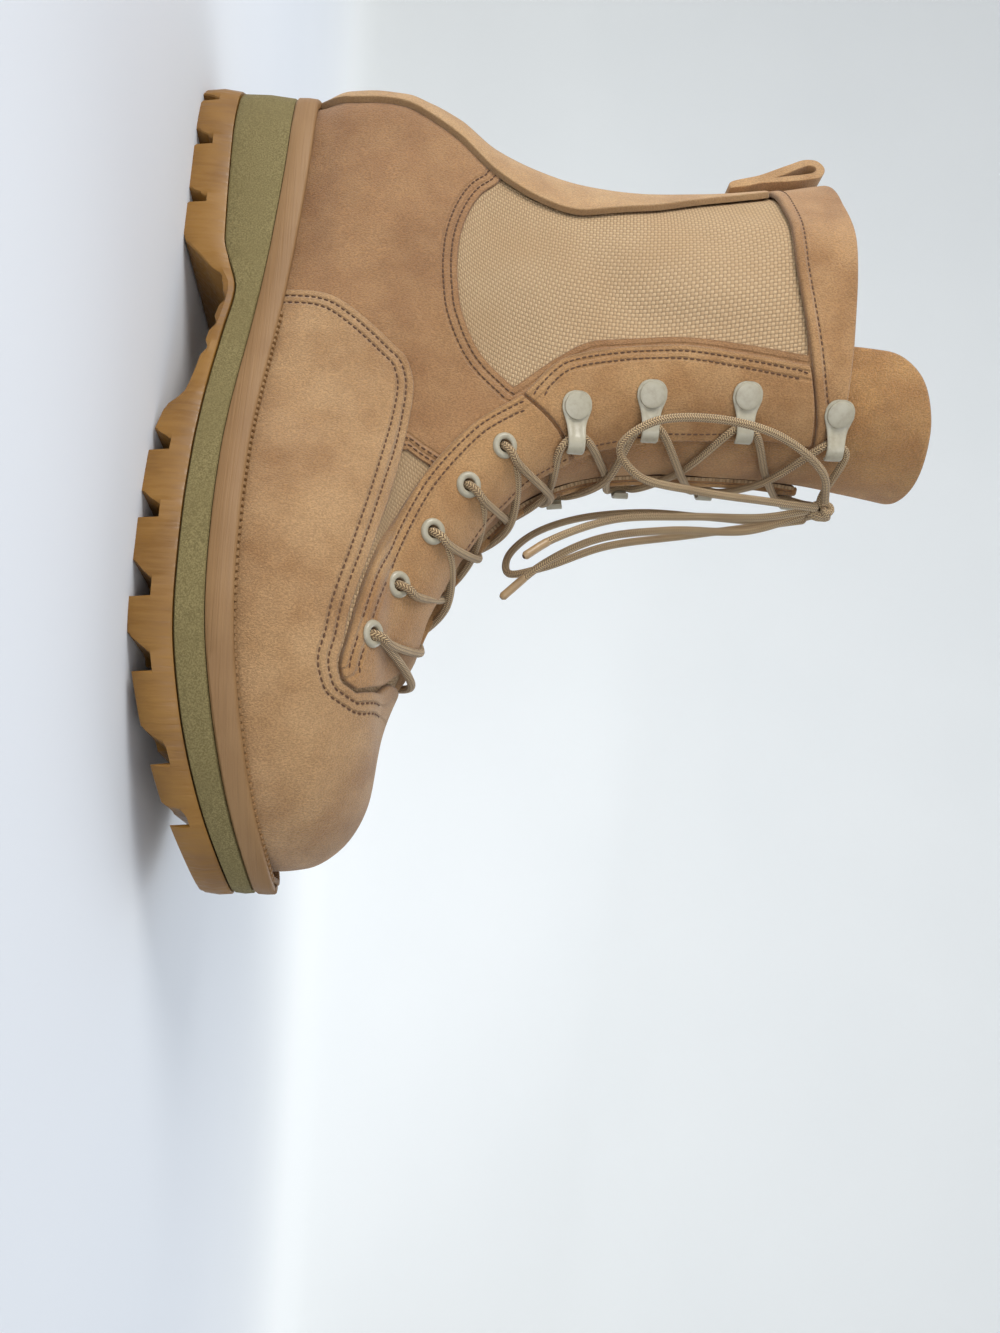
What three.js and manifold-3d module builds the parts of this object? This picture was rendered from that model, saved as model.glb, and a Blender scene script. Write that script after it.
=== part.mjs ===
// Combat boot, right foot, standing on its sole. Millimetres, +X to the toe, +Z up, the outer side faces -Y.
import * as THREE from 'three';
import { mergeVertices } from 'three/addons/utils/BufferGeometryUtils.js';
import Module from 'manifold-3d';

const wasm = await Module();
wasm.setup();

// Driving sizes of the boot.
const SOLE_LENGTH = 318;
const GAP = 0.3;
const WALL = 2.4;
const CLOTH_STEP = 1;
const OVERLAY = 1.3;
const STRAP_THICK = 2.2;
const LOOP_WIDTH = 27;
const TONGUE_THICK = 3.2;
const INSOLE_THICK = 4.2;
const GROOVE_DEPTH = 6.5;
const SLOPE_SHARE = 0.5;
const STEP_SHARE = 0.06;
const LACE_RADIUS = 1.55;
const LACE_LIFT = 4.3;
const LACE_STEP = 10;
const LACE_BULGE = 165;
const EYELET_RADIUS = 4.8;
const HOLE_RADIUS = 2.4;
const HOOK_RADIUS = 5.3;

// How a loop of the last closes at its ends.
const LOOP_POWER = 2.3;
const NOSE_ROUND = 2.1;

// Points on each side of a loop, for the outer faces and for the inner ones.
const FINE = 12;
const COARSE = 9;

// Sole outline: half widths to the outer (lateral) and inner (medial) side at each station.
const SOLE_PLAN = [
  { x: 0, lateral: 8, medial: 7 },
  { x: 2, lateral: 19, medial: 17 },
  { x: 8, lateral: 29.5, medial: 27.5 },
  { x: 20, lateral: 38.5, medial: 35.5 },
  { x: 40, lateral: 42, medial: 39 },
  { x: 90, lateral: 42, medial: 37 },
  { x: 120, lateral: 43, medial: 34 },
  { x: 150, lateral: 47, medial: 36 },
  { x: 180, lateral: 52.5, medial: 42.5 },
  { x: 205, lateral: 55.5, medial: 48.5 },
  { x: 230, lateral: 55, medial: 52 },
  { x: 255, lateral: 49, medial: 52.5 },
  { x: 280, lateral: 37, medial: 48.5 },
  { x: 298, lateral: 23, medial: 41 },
  { x: 310, lateral: 9, medial: 32 },
  { x: 316, lateral: -1, medial: 23 },
  { x: 318, lateral: -7, medial: 16 },
];

// Heights of the layer faces along the sole: ground side, top of the gum, top of the foam, top of the frame.
const SOLE_LEVELS = [
  { x: 0, ground: 2.5, gum: 14.5, foam: 35.5, frame: 44.5 },
  { x: 12, ground: 0, gum: 14, foam: 35.2, frame: 44.2 },
  { x: 40, ground: 0, gum: 13.5, foam: 34.4, frame: 43.4 },
  { x: 88, ground: 0, gum: 14.5, foam: 31, frame: 40 },
  { x: 98, ground: 8, gum: 17, foam: 30, frame: 39 },
  { x: 110, ground: 16, gum: 20, foam: 28.8, frame: 37.8 },
  { x: 128, ground: 13, gum: 17.5, foam: 26.7, frame: 35.7 },
  { x: 156, ground: 8, gum: 14.5, foam: 23.8, frame: 32.8 },
  { x: 164, ground: 2.5, gum: 14, foam: 23.2, frame: 32.2 },
  { x: 182, ground: 0, gum: 13.3, foam: 22.4, frame: 31.4 },
  { x: 215, ground: 0, gum: 13, foam: 22.2, frame: 31.2 },
  { x: 240, ground: 0, gum: 13.4, foam: 23, frame: 32 },
  { x: 265, ground: 3.5, gum: 16, foam: 25.7, frame: 34.4 },
  { x: 290, ground: 9.5, gum: 21, foam: 30, frame: 38.3 },
  { x: 318, ground: 19, gum: 29.5, foam: 37, frame: 44.6 },
];

// Notches between the edge lugs, as spans along the sole at ground level.
const NOTCHES = [
  { from: 18, to: 23.5, inward: 15 },
  { from: 39, to: 47, inward: 21 },
  { from: 66.5, to: 73.5, inward: 21 },
  { from: 173, to: 182, inward: 22 },
  { from: 198, to: 207.5, inward: 24 },
  { from: 222, to: 234, inward: 24 },
  { from: 245, to: 256.5, inward: 24 },
  { from: 272, to: 283, inward: 22 },
  { from: 293.5, to: 300, inward: 18 },
];

// Lengthwise channels between the middle lugs.
const TREAD_LINES = [
  { from: 9, to: 70, y: -14 },
  { from: 9, to: 70, y: 12 },
  { from: 177, to: 251, y: -20 },
  { from: 177, to: 251, y: 18 },
];

// Sections of the last. Each one is a flat loop whose plane runs from the back edge to the front ridge.
// back and front give the ends in side view, the widths are half widths at the heel, the waist and the ball,
// nose is the share of the loop that closes at the front, tip moves the front end to the inner side,
// tail is the length over which the loop closes at the back, and round tells how full it is there:
// the empty shaft lies folded a little flat, so that its back is sharper than the heel's.
const LAST = table(
  'backX backZ frontX frontZ heel waistOut waistIn ballOut ballIn nose tip tail round',
  [
    [4, 22, 306, 22, 34, 37, 28, 49, 44, 0.3, 10, 28, 2.2],
    [3, 43, 308.5, 43, 35, 37, 29, 49, 45, 0.3, 10, 28, 2.2],
    [-2, 56, 307.5, 54, 37.5, 37.5, 31, 47, 45, 0.3, 9, 27, 2.2],
    [-3.5, 68, 300.5, 65.5, 38, 38, 34, 43, 42, 0.33, 8, 27, 2.2],
    [-3.5, 78, 286, 73.5, 38, 38, 35, 38, 38.5, 0.38, 6, 28, 2.2],
    [-2.5, 88, 262, 77.3, 37, 38, 36, 33.5, 34.5, 0.42, 4, 30, 1.9],
    [0.5, 100, 237, 86.5, 36, 37.5, 36, 31.5, 32.5, 0.42, 2, 34, 1.6],
    [9, 116, 210, 99, 34.5, 37.5, 36.5, 31.5, 32, 0.42, 1, 42, 1.35],
    [15.5, 134, 185, 115, 35, 37.5, 37, 33, 33, 0.42, 0, 48, 1.25],
    [20.5, 154, 165, 135, 36, 38.5, 38, 34.5, 34.5, 0.42, 0, 53, 1.25],
    [22.5, 178, 153, 163, 38, 40, 40, 37, 37, 0.44, 0, 57, 1.3],
    [21, 204, 149.5, 195, 40, 43, 43, 40, 40, 0.46, 0, 60, 1.4],
    [17, 232, 149, 226, 42, 45.5, 45.5, 42, 42, 0.48, 0, 64, 1.5],
    [12, 260, 152, 258, 43, 47, 47, 43.5, 43.5, 0.5, 0, 68, 1.8],
    [6, 304, 160, 304, 43, 47, 47, 44, 44, 0.5, 0, 70, 2],
  ],
).map((row, index) => ({ ...row, index }));

// Height indexes of the loops that the faces are made from.
const LOOPS = [0, 1, 2, 2.5, 3, 3.5, 4, 5, 6, 7, 8, 9, 10, 11, 12, 13, 14];

// Outlines of the laid-over panels in side view, x and z, the same on both sides.
const PANELS = {
  vamp: [[107, 20], [105, 51], [115, 65], [127, 78], [131, 82], [136, 84], [142, 85], [156, 83.5], [183, 78],
    [209, 71.8], [229, 66.5], [240, 64.8], [247.5, 63.2], [253, 64.6], [255.3, 69.5], [252.2, 75.8], [246, 81],
    [241, 110], [340, 110], [340, 20]],
  eyestayLower: [[247, 64.5], [240, 66], [210, 73.5], [175, 89], [152, 107], [139, 125], [150, 141], [170, 157],
    [236, 110], [240, 85], [245, 80], [251, 75], [254, 69.5], [252, 65.5]],
  eyestayUpper: [[138.2, 126], [124, 140], [118, 162], [116, 185], [118, 209], [121, 235.6], [142, 241],
    [180, 246], [180, 168], [149.2, 142.2]],
  cuff: [[-20, 232], [30, 232], [47, 231], [80, 230], [107, 234], [128, 238], [142, 242], [200, 248],
    [200, 300], [-20, 300]],
  cloth: [[-20, 119], [43, 116.5], [52, 109], [61, 104.5], [74, 101], [86, 100], [98, 100.5], [108, 102],
    [123, 109], [136, 122], [124, 137], [116, 150], [114, 162], [112, 185], [114, 209], [117, 235], [80, 233.5],
    [47, 235], [-20, 236]],
};

// Middle lines of the free parts of the lace, hanging from the knot in front of the collar.
const KNOT = { x: 163, y: 0, z: 252, radius: 5 };
const FREE_LACE = {
  lace_loop_outer: [[162.4, -5.7, 251.8], [158, -22, 244], [151, -35, 222], [148, -39, 195], [151, -38, 172],
    [158, -31, 162], [165, -24, 170], [167, -18, 195], [167, -13, 225], [164.6, -5.2, 248.4]],
  lace_loop_inner: [[162.4, 5.7, 251.8], [158, 23, 243], [151, 36, 218], [149, 39, 188], [155, 37, 158],
    [166, 32, 138], [180, 25, 127], [190, 18, 127], [189, 12, 140], [179, 11, 165], [172, 11, 200],
    [165, 5.2, 247.8]],
  lace_end_outer: [[164.4, -2.3, 246], [170, -5, 225], [172, -6, 195], [175, -6, 165], [185, -7, 141],
    [194, -9, 129]],
  lace_end_inner: [[164.4, 2.3, 246], [172, 4, 222], [174, 3, 190], [180, 2, 160], [192, 2, 138],
    [206, 4, 122]],
};

// Lace holes and hooks on the outer side, by x and z on the last; the inner side mirrors them.
const EYELETS = [
  { x: 235, z: 73.5 },
  { x: 214, z: 81.8 },
  { x: 193, z: 93.4 },
  { x: 174, z: 106 },
  { x: 158, z: 119 },
];
const HOOKS = [
  { x: 140, z: 146 },
  { x: 133.5, z: 175 },
  { x: 132, z: 212 },
  { x: 136, z: 249 },
];

const COLOURS = {
  gum: { colour: 0xa07332, roughness: 0.45 },
  foam: { colour: 0x8a8455, roughness: 0.85 },
  frame: { colour: 0xa5825a, roughness: 0.6 },
  suede: { colour: 0xb08c68, roughness: 0.95 },
  darkSuede: { colour: 0xa57a54, roughness: 0.95 },
  cuffSuede: { colour: 0xbe9164, roughness: 0.95 },
  cloth: { colour: 0xc8af8c, roughness: 0.9 },
  paint: { colour: 0xb9b29e, roughness: 0.5 },
  cord: { colour: 0xaa8c5f, roughness: 0.9 },
};

// Rows of named columns from lists of values.
function table(names, rows) {
  const columns = names.split(' ');
  return rows.map((row) => Object.fromEntries(row.map((value, i) => [columns[i], value])));
}

function material(name) {
  const c = COLOURS[name];
  return new THREE.MeshStandardMaterial({ color: c.colour, roughness: c.roughness, metalness: 0 });
}

// Smooth value at x from a table of rows, without overshoot.
function along(rows, x, column, key = 'x') {
  const last = rows.length - 1;
  if (x <= rows[0][key]) return rows[0][column];
  if (x >= rows[last][key]) return rows[last][column];
  const i = rows.findIndex((row, n) => n < last && x >= row[key] && x <= rows[n + 1][key]);
  const slope = (n) => {
    if (n <= 0 || n >= last) {
      const a = n <= 0 ? 0 : last - 1;
      return (rows[a + 1][column] - rows[a][column]) / (rows[a + 1][key] - rows[a][key]);
    }
    const before = (rows[n][column] - rows[n - 1][column]) / (rows[n][key] - rows[n - 1][key]);
    const after = (rows[n + 1][column] - rows[n][column]) / (rows[n + 1][key] - rows[n][key]);
    return before * after <= 0 ? 0 : (2 * before * after) / (before + after);
  };
  const span = rows[i + 1][key] - rows[i][key];
  const u = (x - rows[i][key]) / span;
  const a = rows[i][column];
  const b = rows[i + 1][column];
  const h = u * u * (3 - 2 * u);
  return a + (b - a) * h + span * (u * (1 - u) ** 2 * slope(i) - u * u * (1 - u) * slope(i + 1));
}

// Closed mesh from rings of equal length, capped with fans round their middles.
function loft(rings) {
  const count = rings[0].length;
  const points = rings.flat();
  const faces = [];
  for (let r = 0; r + 1 < rings.length; r += 1) {
    for (let i = 0; i < count; i += 1) {
      const j = (i + 1) % count;
      const a = r * count + i;
      const b = r * count + j;
      faces.push([a, b, b + count], [a, b + count, a + count]);
    }
  }
  const middle = (ring) => ring.reduce((s, p) => s.add(p), new THREE.Vector3()).divideScalar(count);
  const low = points.length;
  points.push(middle(rings[0]), middle(rings[rings.length - 1]));
  const top = (rings.length - 1) * count;
  for (let i = 0; i < count; i += 1) {
    const j = (i + 1) % count;
    faces.push([low, j, i], [low + 1, top + i, top + j]);
  }
  return solid(points, faces);
}

function solid(points, faces) {
  const vertProperties = new Float32Array(points.flatMap((p) => [p.x, p.y, p.z]));
  const triVerts = new Uint32Array(faces.flat());
  const body = new wasm.Manifold(new wasm.Mesh({ numProp: 3, vertProperties, triVerts }));
  if (body.volume() > 0) return body;
  const flipped = new Uint32Array(faces.flatMap((f) => [f[0], f[2], f[1]]));
  return new wasm.Manifold(new wasm.Mesh({ numProp: 3, vertProperties, triVerts: flipped }));
}

function fromGeometry(geometry) {
  const g = geometry.clone();
  g.deleteAttribute('normal');
  g.deleteAttribute('uv');
  const merged = mergeVertices(g, 1e-4);
  const vertProperties = new Float32Array(merged.attributes.position.array);
  const triVerts = new Uint32Array(merged.index.array);
  return new wasm.Manifold(new wasm.Mesh({ numProp: 3, vertProperties, triVerts }));
}

function toMesh(name, body, materialName) {
  const raw = body.getMesh();
  const positions = new Float32Array(raw.triVerts.length * 3);
  raw.triVerts.forEach((v, n) => {
    for (let k = 0; k < 3; k += 1) positions[n * 3 + k] = raw.vertProperties[v * raw.numProp + k];
  });
  const geometry = new THREE.BufferGeometry();
  geometry.setAttribute('position', new THREE.BufferAttribute(positions, 3));
  geometry.computeVertexNormals();
  const mesh = new THREE.Mesh(geometry, material(materialName));
  mesh.name = name;
  return mesh;
}

// Block cut from a side-view outline, from one y to another.
function sidePrism(outline, fromY, toY) {
  const shape = new THREE.Shape(outline.map(([x, z]) => new THREE.Vector2(x, z)));
  const geometry = new THREE.ExtrudeGeometry(shape, { depth: toY - fromY, bevelEnabled: false, steps: 1 });
  geometry.rotateX(Math.PI / 2);
  geometry.translate(0, toY, 0);
  return fromGeometry(geometry);
}

// Half width of the loop at a height index, at a share t of its length, on one side.
function loopWidth(at, t, side, length) {
  const get = (column) => along(LAST, at, column, 'index');
  const ball = get(side < 0 ? 'ballOut' : 'ballIn');
  const spots = [
    { t: 0, w: get('heel') },
    { t: 0.2, w: get('heel') },
    { t: 0.42, w: get(side < 0 ? 'waistOut' : 'waistIn') },
    { t: 0.7, w: ball },
    { t: 1, w: ball },
  ];
  const tail = Math.min(1, t * length / get('tail'));
  const nose = Math.max(0, (t - 1 + get('nose')) / get('nose'));
  return along(spots, t, 'w', 't')
    * (1 - (1 - tail) ** LOOP_POWER) ** (1 / get('round'))
    * (1 - nose ** LOOP_POWER) ** (1 / NOSE_ROUND);
}

function loopMiddle(at, t) {
  return along(LAST, at, 'tip', 'index') * Math.max(0, (t - 0.6) / 0.4) ** 1.5;
}

function loopEnds(at) {
  const get = (column) => along(LAST, at, column, 'index');
  const back = new THREE.Vector2(get('backX'), get('backZ'));
  const front = new THREE.Vector2(get('frontX'), get('frontZ'));
  return { back, front, length: back.distanceTo(front) };
}

// One loop of the last, from the back round the outer side to the front and home along the inner side.
function lastLoop(at, count) {
  const { back, front, length } = loopEnds(at);
  const place = (i, side) => {
    const t = 0.5 - 0.5 * Math.cos(Math.PI * i / count);
    const y = loopMiddle(at, t) + side * loopWidth(at, t, side, length);
    return new THREE.Vector3(back.x + (front.x - back.x) * t, y, back.y + (front.y - back.y) * t);
  };
  const outer = Array.from({ length: count + 1 }, (_, i) => place(i, -1));
  const inner = Array.from({ length: count - 1 }, (_, i) => place(count - 1 - i, 1));
  return [...outer, ...inner];
}

// The last as a closed body, moved out of its own face by a distance, over a span of height indexes.
function lastBody(outward, count = FINE, from = 0, to = LAST.length - 1) {
  const rings = LOOPS.filter((at) => at >= from && at <= to).map((at) => lastLoop(at, count));
  const moved = rings.map((ring, r) => ring.map((p, i) => {
    const n = ring.length;
    const around = ring[(i + 1) % n].clone().sub(ring[(i + n - 1) % n]);
    const up = rings[Math.min(r + 1, rings.length - 1)][i].clone().sub(rings[Math.max(r - 1, 0)][i]);
    return p.clone().addScaledVector(around.cross(up).normalize(), outward);
  }));
  return loft(moved);
}

// A skin over the last between two heights above its face.
function skin(low, high) {
  return lastBody(high).subtract(lastBody(low));
}

// The point of the last's face on one side at x and z, with its outward normal and the way to the front.
function spotOn(x, z, side) {
  const point = (px, pz) => {
    let low = 0;
    let high = LAST.length - 1;
    for (let n = 0; n < 40; n += 1) {
      const mid = (low + high) / 2;
      const { back, front } = loopEnds(mid);
      const level = back.y + (px - back.x) * (front.y - back.y) / (front.x - back.x);
      if (level < pz) low = mid;
      else high = mid;
    }
    const { back, front, length } = loopEnds(low);
    const t = Math.min(0.999, (px - back.x) / (front.x - back.x));
    return new THREE.Vector3(px, loopMiddle(low, t) + side * loopWidth(low, t, side, length), pz);
  };
  const centre = point(x, z);
  const forward = point(x + 1, z).sub(point(x - 1, z)).normalize();
  const up = point(x, z + 1).sub(point(x, z - 1)).normalize();
  const normal = forward.clone().cross(up).multiplyScalar(-side).normalize();
  return { centre, normal, forward, up };
}

function soleStations() {
  const xs = SOLE_PLAN.map((row) => row.x);
  return xs.flatMap((x, i) => (i + 1 < xs.length ? [x, (x + xs[i + 1]) / 2] : [x]));
}

// A layer of the sole between two levels. sides lists the steps of its edge from bottom to top.
function soleLayer(bottom, top, sides) {
  const rings = soleStations().map((x) => {
    const squeeze = (x - SOLE_LENGTH / 2) / (SOLE_LENGTH / 2);
    const edge = (side, row) => {
      const w = along(SOLE_PLAN, x, side < 0 ? 'lateral' : 'medial');
      const centre = (along(SOLE_PLAN, x, 'medial') - along(SOLE_PLAN, x, 'lateral')) / 2;
      const half = Math.max(1.5, w - side * centre - row.inset);
      const own = x - squeeze * row.inset;
      const z0 = along(SOLE_LEVELS, own, bottom.level) + bottom.lift;
      const z1 = along(SOLE_LEVELS, own, top.level) + top.lift;
      return new THREE.Vector3(own, centre + side * half, z0 + (z1 - z0) * row.share);
    };
    return [...sides.map((row) => edge(-1, row)), ...[...sides].reverse().map((row) => edge(1, row))];
  });
  return loft(rings);
}

function outsole() {
  const edge = [{ share: 0, inset: 1.2 }, { share: 0.5, inset: 0 }, { share: 1, inset: 0.6 }];
  let body = soleLayer({ level: 'ground', lift: 0 }, { level: 'gum', lift: 0 }, edge);
  for (const notch of NOTCHES) {
    const mid = (notch.from + notch.to) / 2;
    const ground = along(SOLE_LEVELS, mid, 'ground');
    const span = notch.to - notch.from;
    const shape = [
      [notch.from - 1, ground - 8], [notch.to + 0.4, ground - 8],
      [notch.to - span * STEP_SHARE, ground + GROOVE_DEPTH],
      [notch.from + span * SLOPE_SHARE, ground + GROOVE_DEPTH],
      [notch.from, ground],
    ];
    const out = along(SOLE_PLAN, mid, 'lateral');
    const inn = along(SOLE_PLAN, mid, 'medial');
    body = body.subtract(sidePrism(shape, -out - 5, -out + notch.inward));
    body = body.subtract(sidePrism(shape, inn - notch.inward, inn + 5));
    body = body.subtract(channel([mid - 2, mid + 2], [-out, inn], ground + GROOVE_DEPTH - 2));
  }
  for (const { from, to, y } of TREAD_LINES) {
    body = body.subtract(channel([from, to], [y - 2, y + 2], GROOVE_DEPTH - 2));
  }
  return body;
}

// A square channel cut up into the tread.
function channel([fromX, toX], [fromY, toY], top) {
  const geometry = new THREE.BoxGeometry(toX - fromX, toY - fromY, top + 10);
  geometry.translate((fromX + toX) / 2, (fromY + toY) / 2, (top - 10) / 2);
  return fromGeometry(geometry);
}

function midsole() {
  const edge = [{ share: 0, inset: 1.4 }, { share: 0.5, inset: 0.4 }, { share: 1, inset: 1.2 }];
  return soleLayer({ level: 'gum', lift: GAP }, { level: 'foam', lift: 0 }, edge);
}

function welt() {
  const edge = [
    { share: 0, inset: 1 },
    { share: 0.35, inset: 0.2 },
    { share: 0.8, inset: 0.2 },
    { share: 1, inset: 1 },
  ];
  return soleLayer({ level: 'foam', lift: GAP }, { level: 'frame', lift: 0 }, edge);
}

// Everything below the top of the welt, used to trim what stands on it.
function belowWelt(lift) {
  const line = soleStations().map((x) => [x, along(SOLE_LEVELS, x, 'frame') + lift]);
  const [heel, toe] = [line[0][1], line[line.length - 1][1]];
  return sidePrism([[-30, -60], [-30, heel], ...line, [350, toe], [350, -60]], -120, 120);
}

// The collar's cut: a side-view line over the top of the shaft.
const COLLAR = [[-60, 262], [10, 259], [45, 256], [90, 254], [125, 252], [220, 250]];

function aboveCollar() {
  return sidePrism([...COLLAR, [220, 400], [-60, 400]], -120, 120);
}

// Slot along the front ridge: a strip that follows the ridge, with a half width for each height index.
const THROAT = [
  { at: 6.25, half: 2 },
  { at: 6.5, half: 9 },
  { at: 7.5, half: 11 },
  { at: 9, half: 13 },
  { at: 10.5, half: 17 },
  { at: 12, half: 19 },
  { at: 14, half: 18 },
];

function ridgeStrip(rows, below, above) {
  const rings = rows.map(({ at, half }) => {
    const p = loopEnds(at).front;
    const a = loopEnds(Math.max(0, at - 0.4)).front;
    const b = loopEnds(Math.min(LAST.length - 1, at + 0.4)).front;
    const out = new THREE.Vector2(b.y - a.y, a.x - b.x).normalize();
    const y = along(LAST, at, 'tip', 'index');
    return [[-half, -below], [half, -below], [half, above], [-half, above]].map(
      ([dy, d]) => new THREE.Vector3(p.x + out.x * d, y + dy, p.y + out.y * d),
    );
  });
  return loft(rings);
}

function panel(name) {
  return sidePrism(PANELS[name], -120, 120);
}

// A cylinder, pin or disc from a height to another along the normal at a spot.
function peg(spot, radius, from, to, sides) {
  const geometry = new THREE.CylinderGeometry(radius, radius, to - from, sides);
  geometry.rotateX(Math.PI / 2);
  geometry.translate(0, 0, (from + to) / 2);
  return fromGeometry(geometry.applyMatrix4(spotFrame(spot)));
}

// Local frame of a spot: x to the front, z along the normal.
function spotFrame(spot) {
  const z = spot.normal;
  const x = spot.forward.clone().addScaledVector(z, -spot.forward.dot(z)).normalize();
  const y = z.clone().cross(x);
  return new THREE.Matrix4().makeBasis(x, y, z).setPosition(spot.centre);
}

const SIDES = [{ tag: 'outer', side: -1 }, { tag: 'inner', side: 1 }];

function laceHoles() {
  const pegs = SIDES.flatMap(({ side }) => EYELETS.map(({ x, z }) => (
    peg(spotOn(x, z, side), HOLE_RADIUS, -WALL - 1, OVERLAY + 2, 6))));
  return pegs.reduce((all, one) => all.add(one));
}

function upper(throat, holes) {
  const recess = skin(-CLOTH_STEP, 2).intersect(panel('cloth'));
  return lastBody(0).subtract(lastBody(-WALL, COARSE))
    .subtract(recess)
    .subtract(belowWelt(GAP)).subtract(aboveCollar())
    .subtract(throat).subtract(holes);
}

function tongue() {
  const depth = WALL + GAP;
  const shell = lastBody(-depth, COARSE, 5, 14).subtract(lastBody(-depth - TONGUE_THICK, COARSE, 4, 14));
  const side = [[232, 92], [205, 78], [170, 88], [138, 112], [118, 150], [112, 200], [112, 262],
    [115, 274], [124, 283], [136, 287.5], [176, 290], [176, 150], [232, 104]];
  return shell.intersect(sidePrism(side, -60, 60));
}

// Flats in the panels under the rings and hooks.
function seats() {
  const low = OVERLAY + GAP;
  const cut = (spot, radius) => peg(spot, radius, low, low + 5, 6);
  const all = SIDES.flatMap(({ side }) => [
    ...EYELETS.map(({ x, z }) => cut(spotOn(x, z, side), EYELET_RADIUS + 1.2)),
    ...HOOKS.map(({ x, z }) => cut(spotOn(x, z, side), HOOK_RADIUS + 3.2)),
  ]);
  return all.reduce((sum, one) => sum.add(one));
}

function overlay(name, throat) {
  return skin(GAP, GAP + OVERLAY).intersect(panel(name))
    .subtract(belowWelt(GAP)).subtract(aboveCollar()).subtract(throat);
}

// One side of a body, cut off a little past the middle plane.
function half(side) {
  const low = side < 0 ? -120 : 0.5;
  return sidePrism([[-60, -20], [360, -20], [360, 340], [-60, 340]], low, low + 119.5);
}

// Strap over the back seam in side view: narrow at the heel and the top, wide above the heel.
const STRAP = [[-30, 20], [11, 20], [11, 43], [15, 55], [15, 76], [25, 96], [43, 116], [53, 131], [57.5, 145.5],
  [56, 160], [52, 176], [41, 205], [33, 230.5], [-30, 230.5]];

// Its pull loop, folded and standing off the cuff, in side view.
const LOOP_OUTER = [[17.4, 219], [15.2, 219], [9.5, 233], [2.5, 246.5], [-1.2, 254.5], [-1, 259.8], [2.6, 262.6],
  [6.8, 260.6], [9, 254.5], [10.9, 246], [13.2, 233.5], [15.6, 226]];
const LOOP_INNER = [[11, 237], [7.4, 244], [4, 250], [1.4, 255.2], [1.5, 258], [3, 259.4], [5, 258.2],
  [6.9, 253.2], [8.9, 244.5]];

function backStrap() {
  const window = sidePrism(STRAP, -120, 120);
  const strap = skin(GAP, GAP + STRAP_THICK).intersect(window).subtract(belowWelt(GAP));
  const width = LOOP_WIDTH / 2;
  const loop = sidePrism(LOOP_OUTER, -width, width).subtract(sidePrism(LOOP_INNER, -width - 1, width + 1));
  return strap.add(loop);
}

// Painted ring round a lace hole: a closed section turned about the hole.
function eyelet(spot) {
  const low = OVERLAY + 2 * GAP;
  const section = [[HOLE_RADIUS, low], [EYELET_RADIUS, low], [EYELET_RADIUS - 0.6, low + 0.8], [3.4, low + 1.2],
    [HOLE_RADIUS, low]].map(([r, z]) => new THREE.Vector2(r, z));
  const geometry = new THREE.LatheGeometry(section, 10);
  geometry.rotateX(Math.PI / 2);
  return fromGeometry(geometry.applyMatrix4(spotFrame(spot)));
}

// Speed hook: a riveted disc with an arm that reaches forward and bends down at its tip.
const HOOK_ARM = [[0, 0.3], [7, 0.3], [10.5, 2.6], [14, 3], [16.6, 1.6], [17.6, 2.4], [15, 4.6], [9.5, 4.3],
  [6, 2], [0, 2]];

function hook(spot) {
  const low = OVERLAY + 2 * GAP;
  const shape = new THREE.Shape(HOOK_ARM.map(([u, n]) => new THREE.Vector2(u, n + low)));
  const arm = new THREE.ExtrudeGeometry(shape, { depth: 6.4, bevelEnabled: false, steps: 1 });
  arm.rotateX(Math.PI / 2);
  arm.translate(0, 3.2, 0);
  return fromGeometry(arm.applyMatrix4(spotFrame(spot)))
    .add(peg(spot, HOOK_RADIUS, low, low + 2.2, 10));
}

// Round cord along a smooth curve.
function cord(points, steps, sides = 8) {
  const curve = new THREE.CatmullRomCurve3(points, false, 'centripetal');
  const ring = Array.from({ length: sides }, (_, i) => {
    const a = 2 * Math.PI * i / sides;
    return new THREE.Vector2(LACE_RADIUS * Math.cos(a), LACE_RADIUS * Math.sin(a));
  });
  const options = { steps, bevelEnabled: false, extrudePath: curve };
  return fromGeometry(new THREE.ExtrudeGeometry(new THREE.Shape(ring), options));
}

function insole() {
  const slab = belowWelt(GAP + INSOLE_THICK).subtract(belowWelt(GAP));
  return lastBody(-WALL - 2 * GAP, COARSE, 0, 5).intersect(slab);
}

// Where the lace bends: over each hole, and under the arm of each hook.
function laceStops(side) {
  const holes = EYELETS.map(({ x, z }) => ({ ...spotOn(x, z, side), lift: 5.4, reach: 1 }));
  const hooks = HOOKS.map(({ x, z }) => ({ ...spotOn(x, z, side), lift: 2.3, reach: 13 }));
  return [...holes, ...hooks].map(({ centre, normal, forward, lift, reach }) => ({
    point: centre.clone().addScaledVector(normal, lift).addScaledVector(forward, reach),
    normal,
  }));
}

// The point over the front ridge nearest to the middle of two stops.
function ridgeStop(a, b) {
  const middle = a.point.clone().add(b.point).multiplyScalar(0.5);
  const ats = Array.from({ length: 200 }, (_, i) => 4.5 + i * 0.0475);
  const far = (at) => Math.hypot(loopEnds(at).front.x - middle.x, loopEnds(at).front.y - middle.z);
  const at = ats.reduce((best, one) => (far(one) < far(best) ? one : best));
  const p = loopEnds(at).front;
  const along2 = loopEnds(at + 0.3).front.clone().sub(loopEnds(at - 0.3).front).normalize();
  const normal = new THREE.Vector3(along2.y, 0, -along2.x);
  const y = loopMiddle(at, 1);
  return { point: new THREE.Vector3(p.x, y, p.y).addScaledVector(normal, LACE_LIFT), normal };
}

// A bend between two stops, pushed out so that the cord clears the rounded front.
function bulge(a, b) {
  const size = a.point.distanceTo(b.point);
  const normal = a.normal.clone().add(b.normal).normalize();
  return a.point.clone().add(b.point).multiplyScalar(0.5).addScaledVector(normal, size * size / LACE_BULGE);
}

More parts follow.
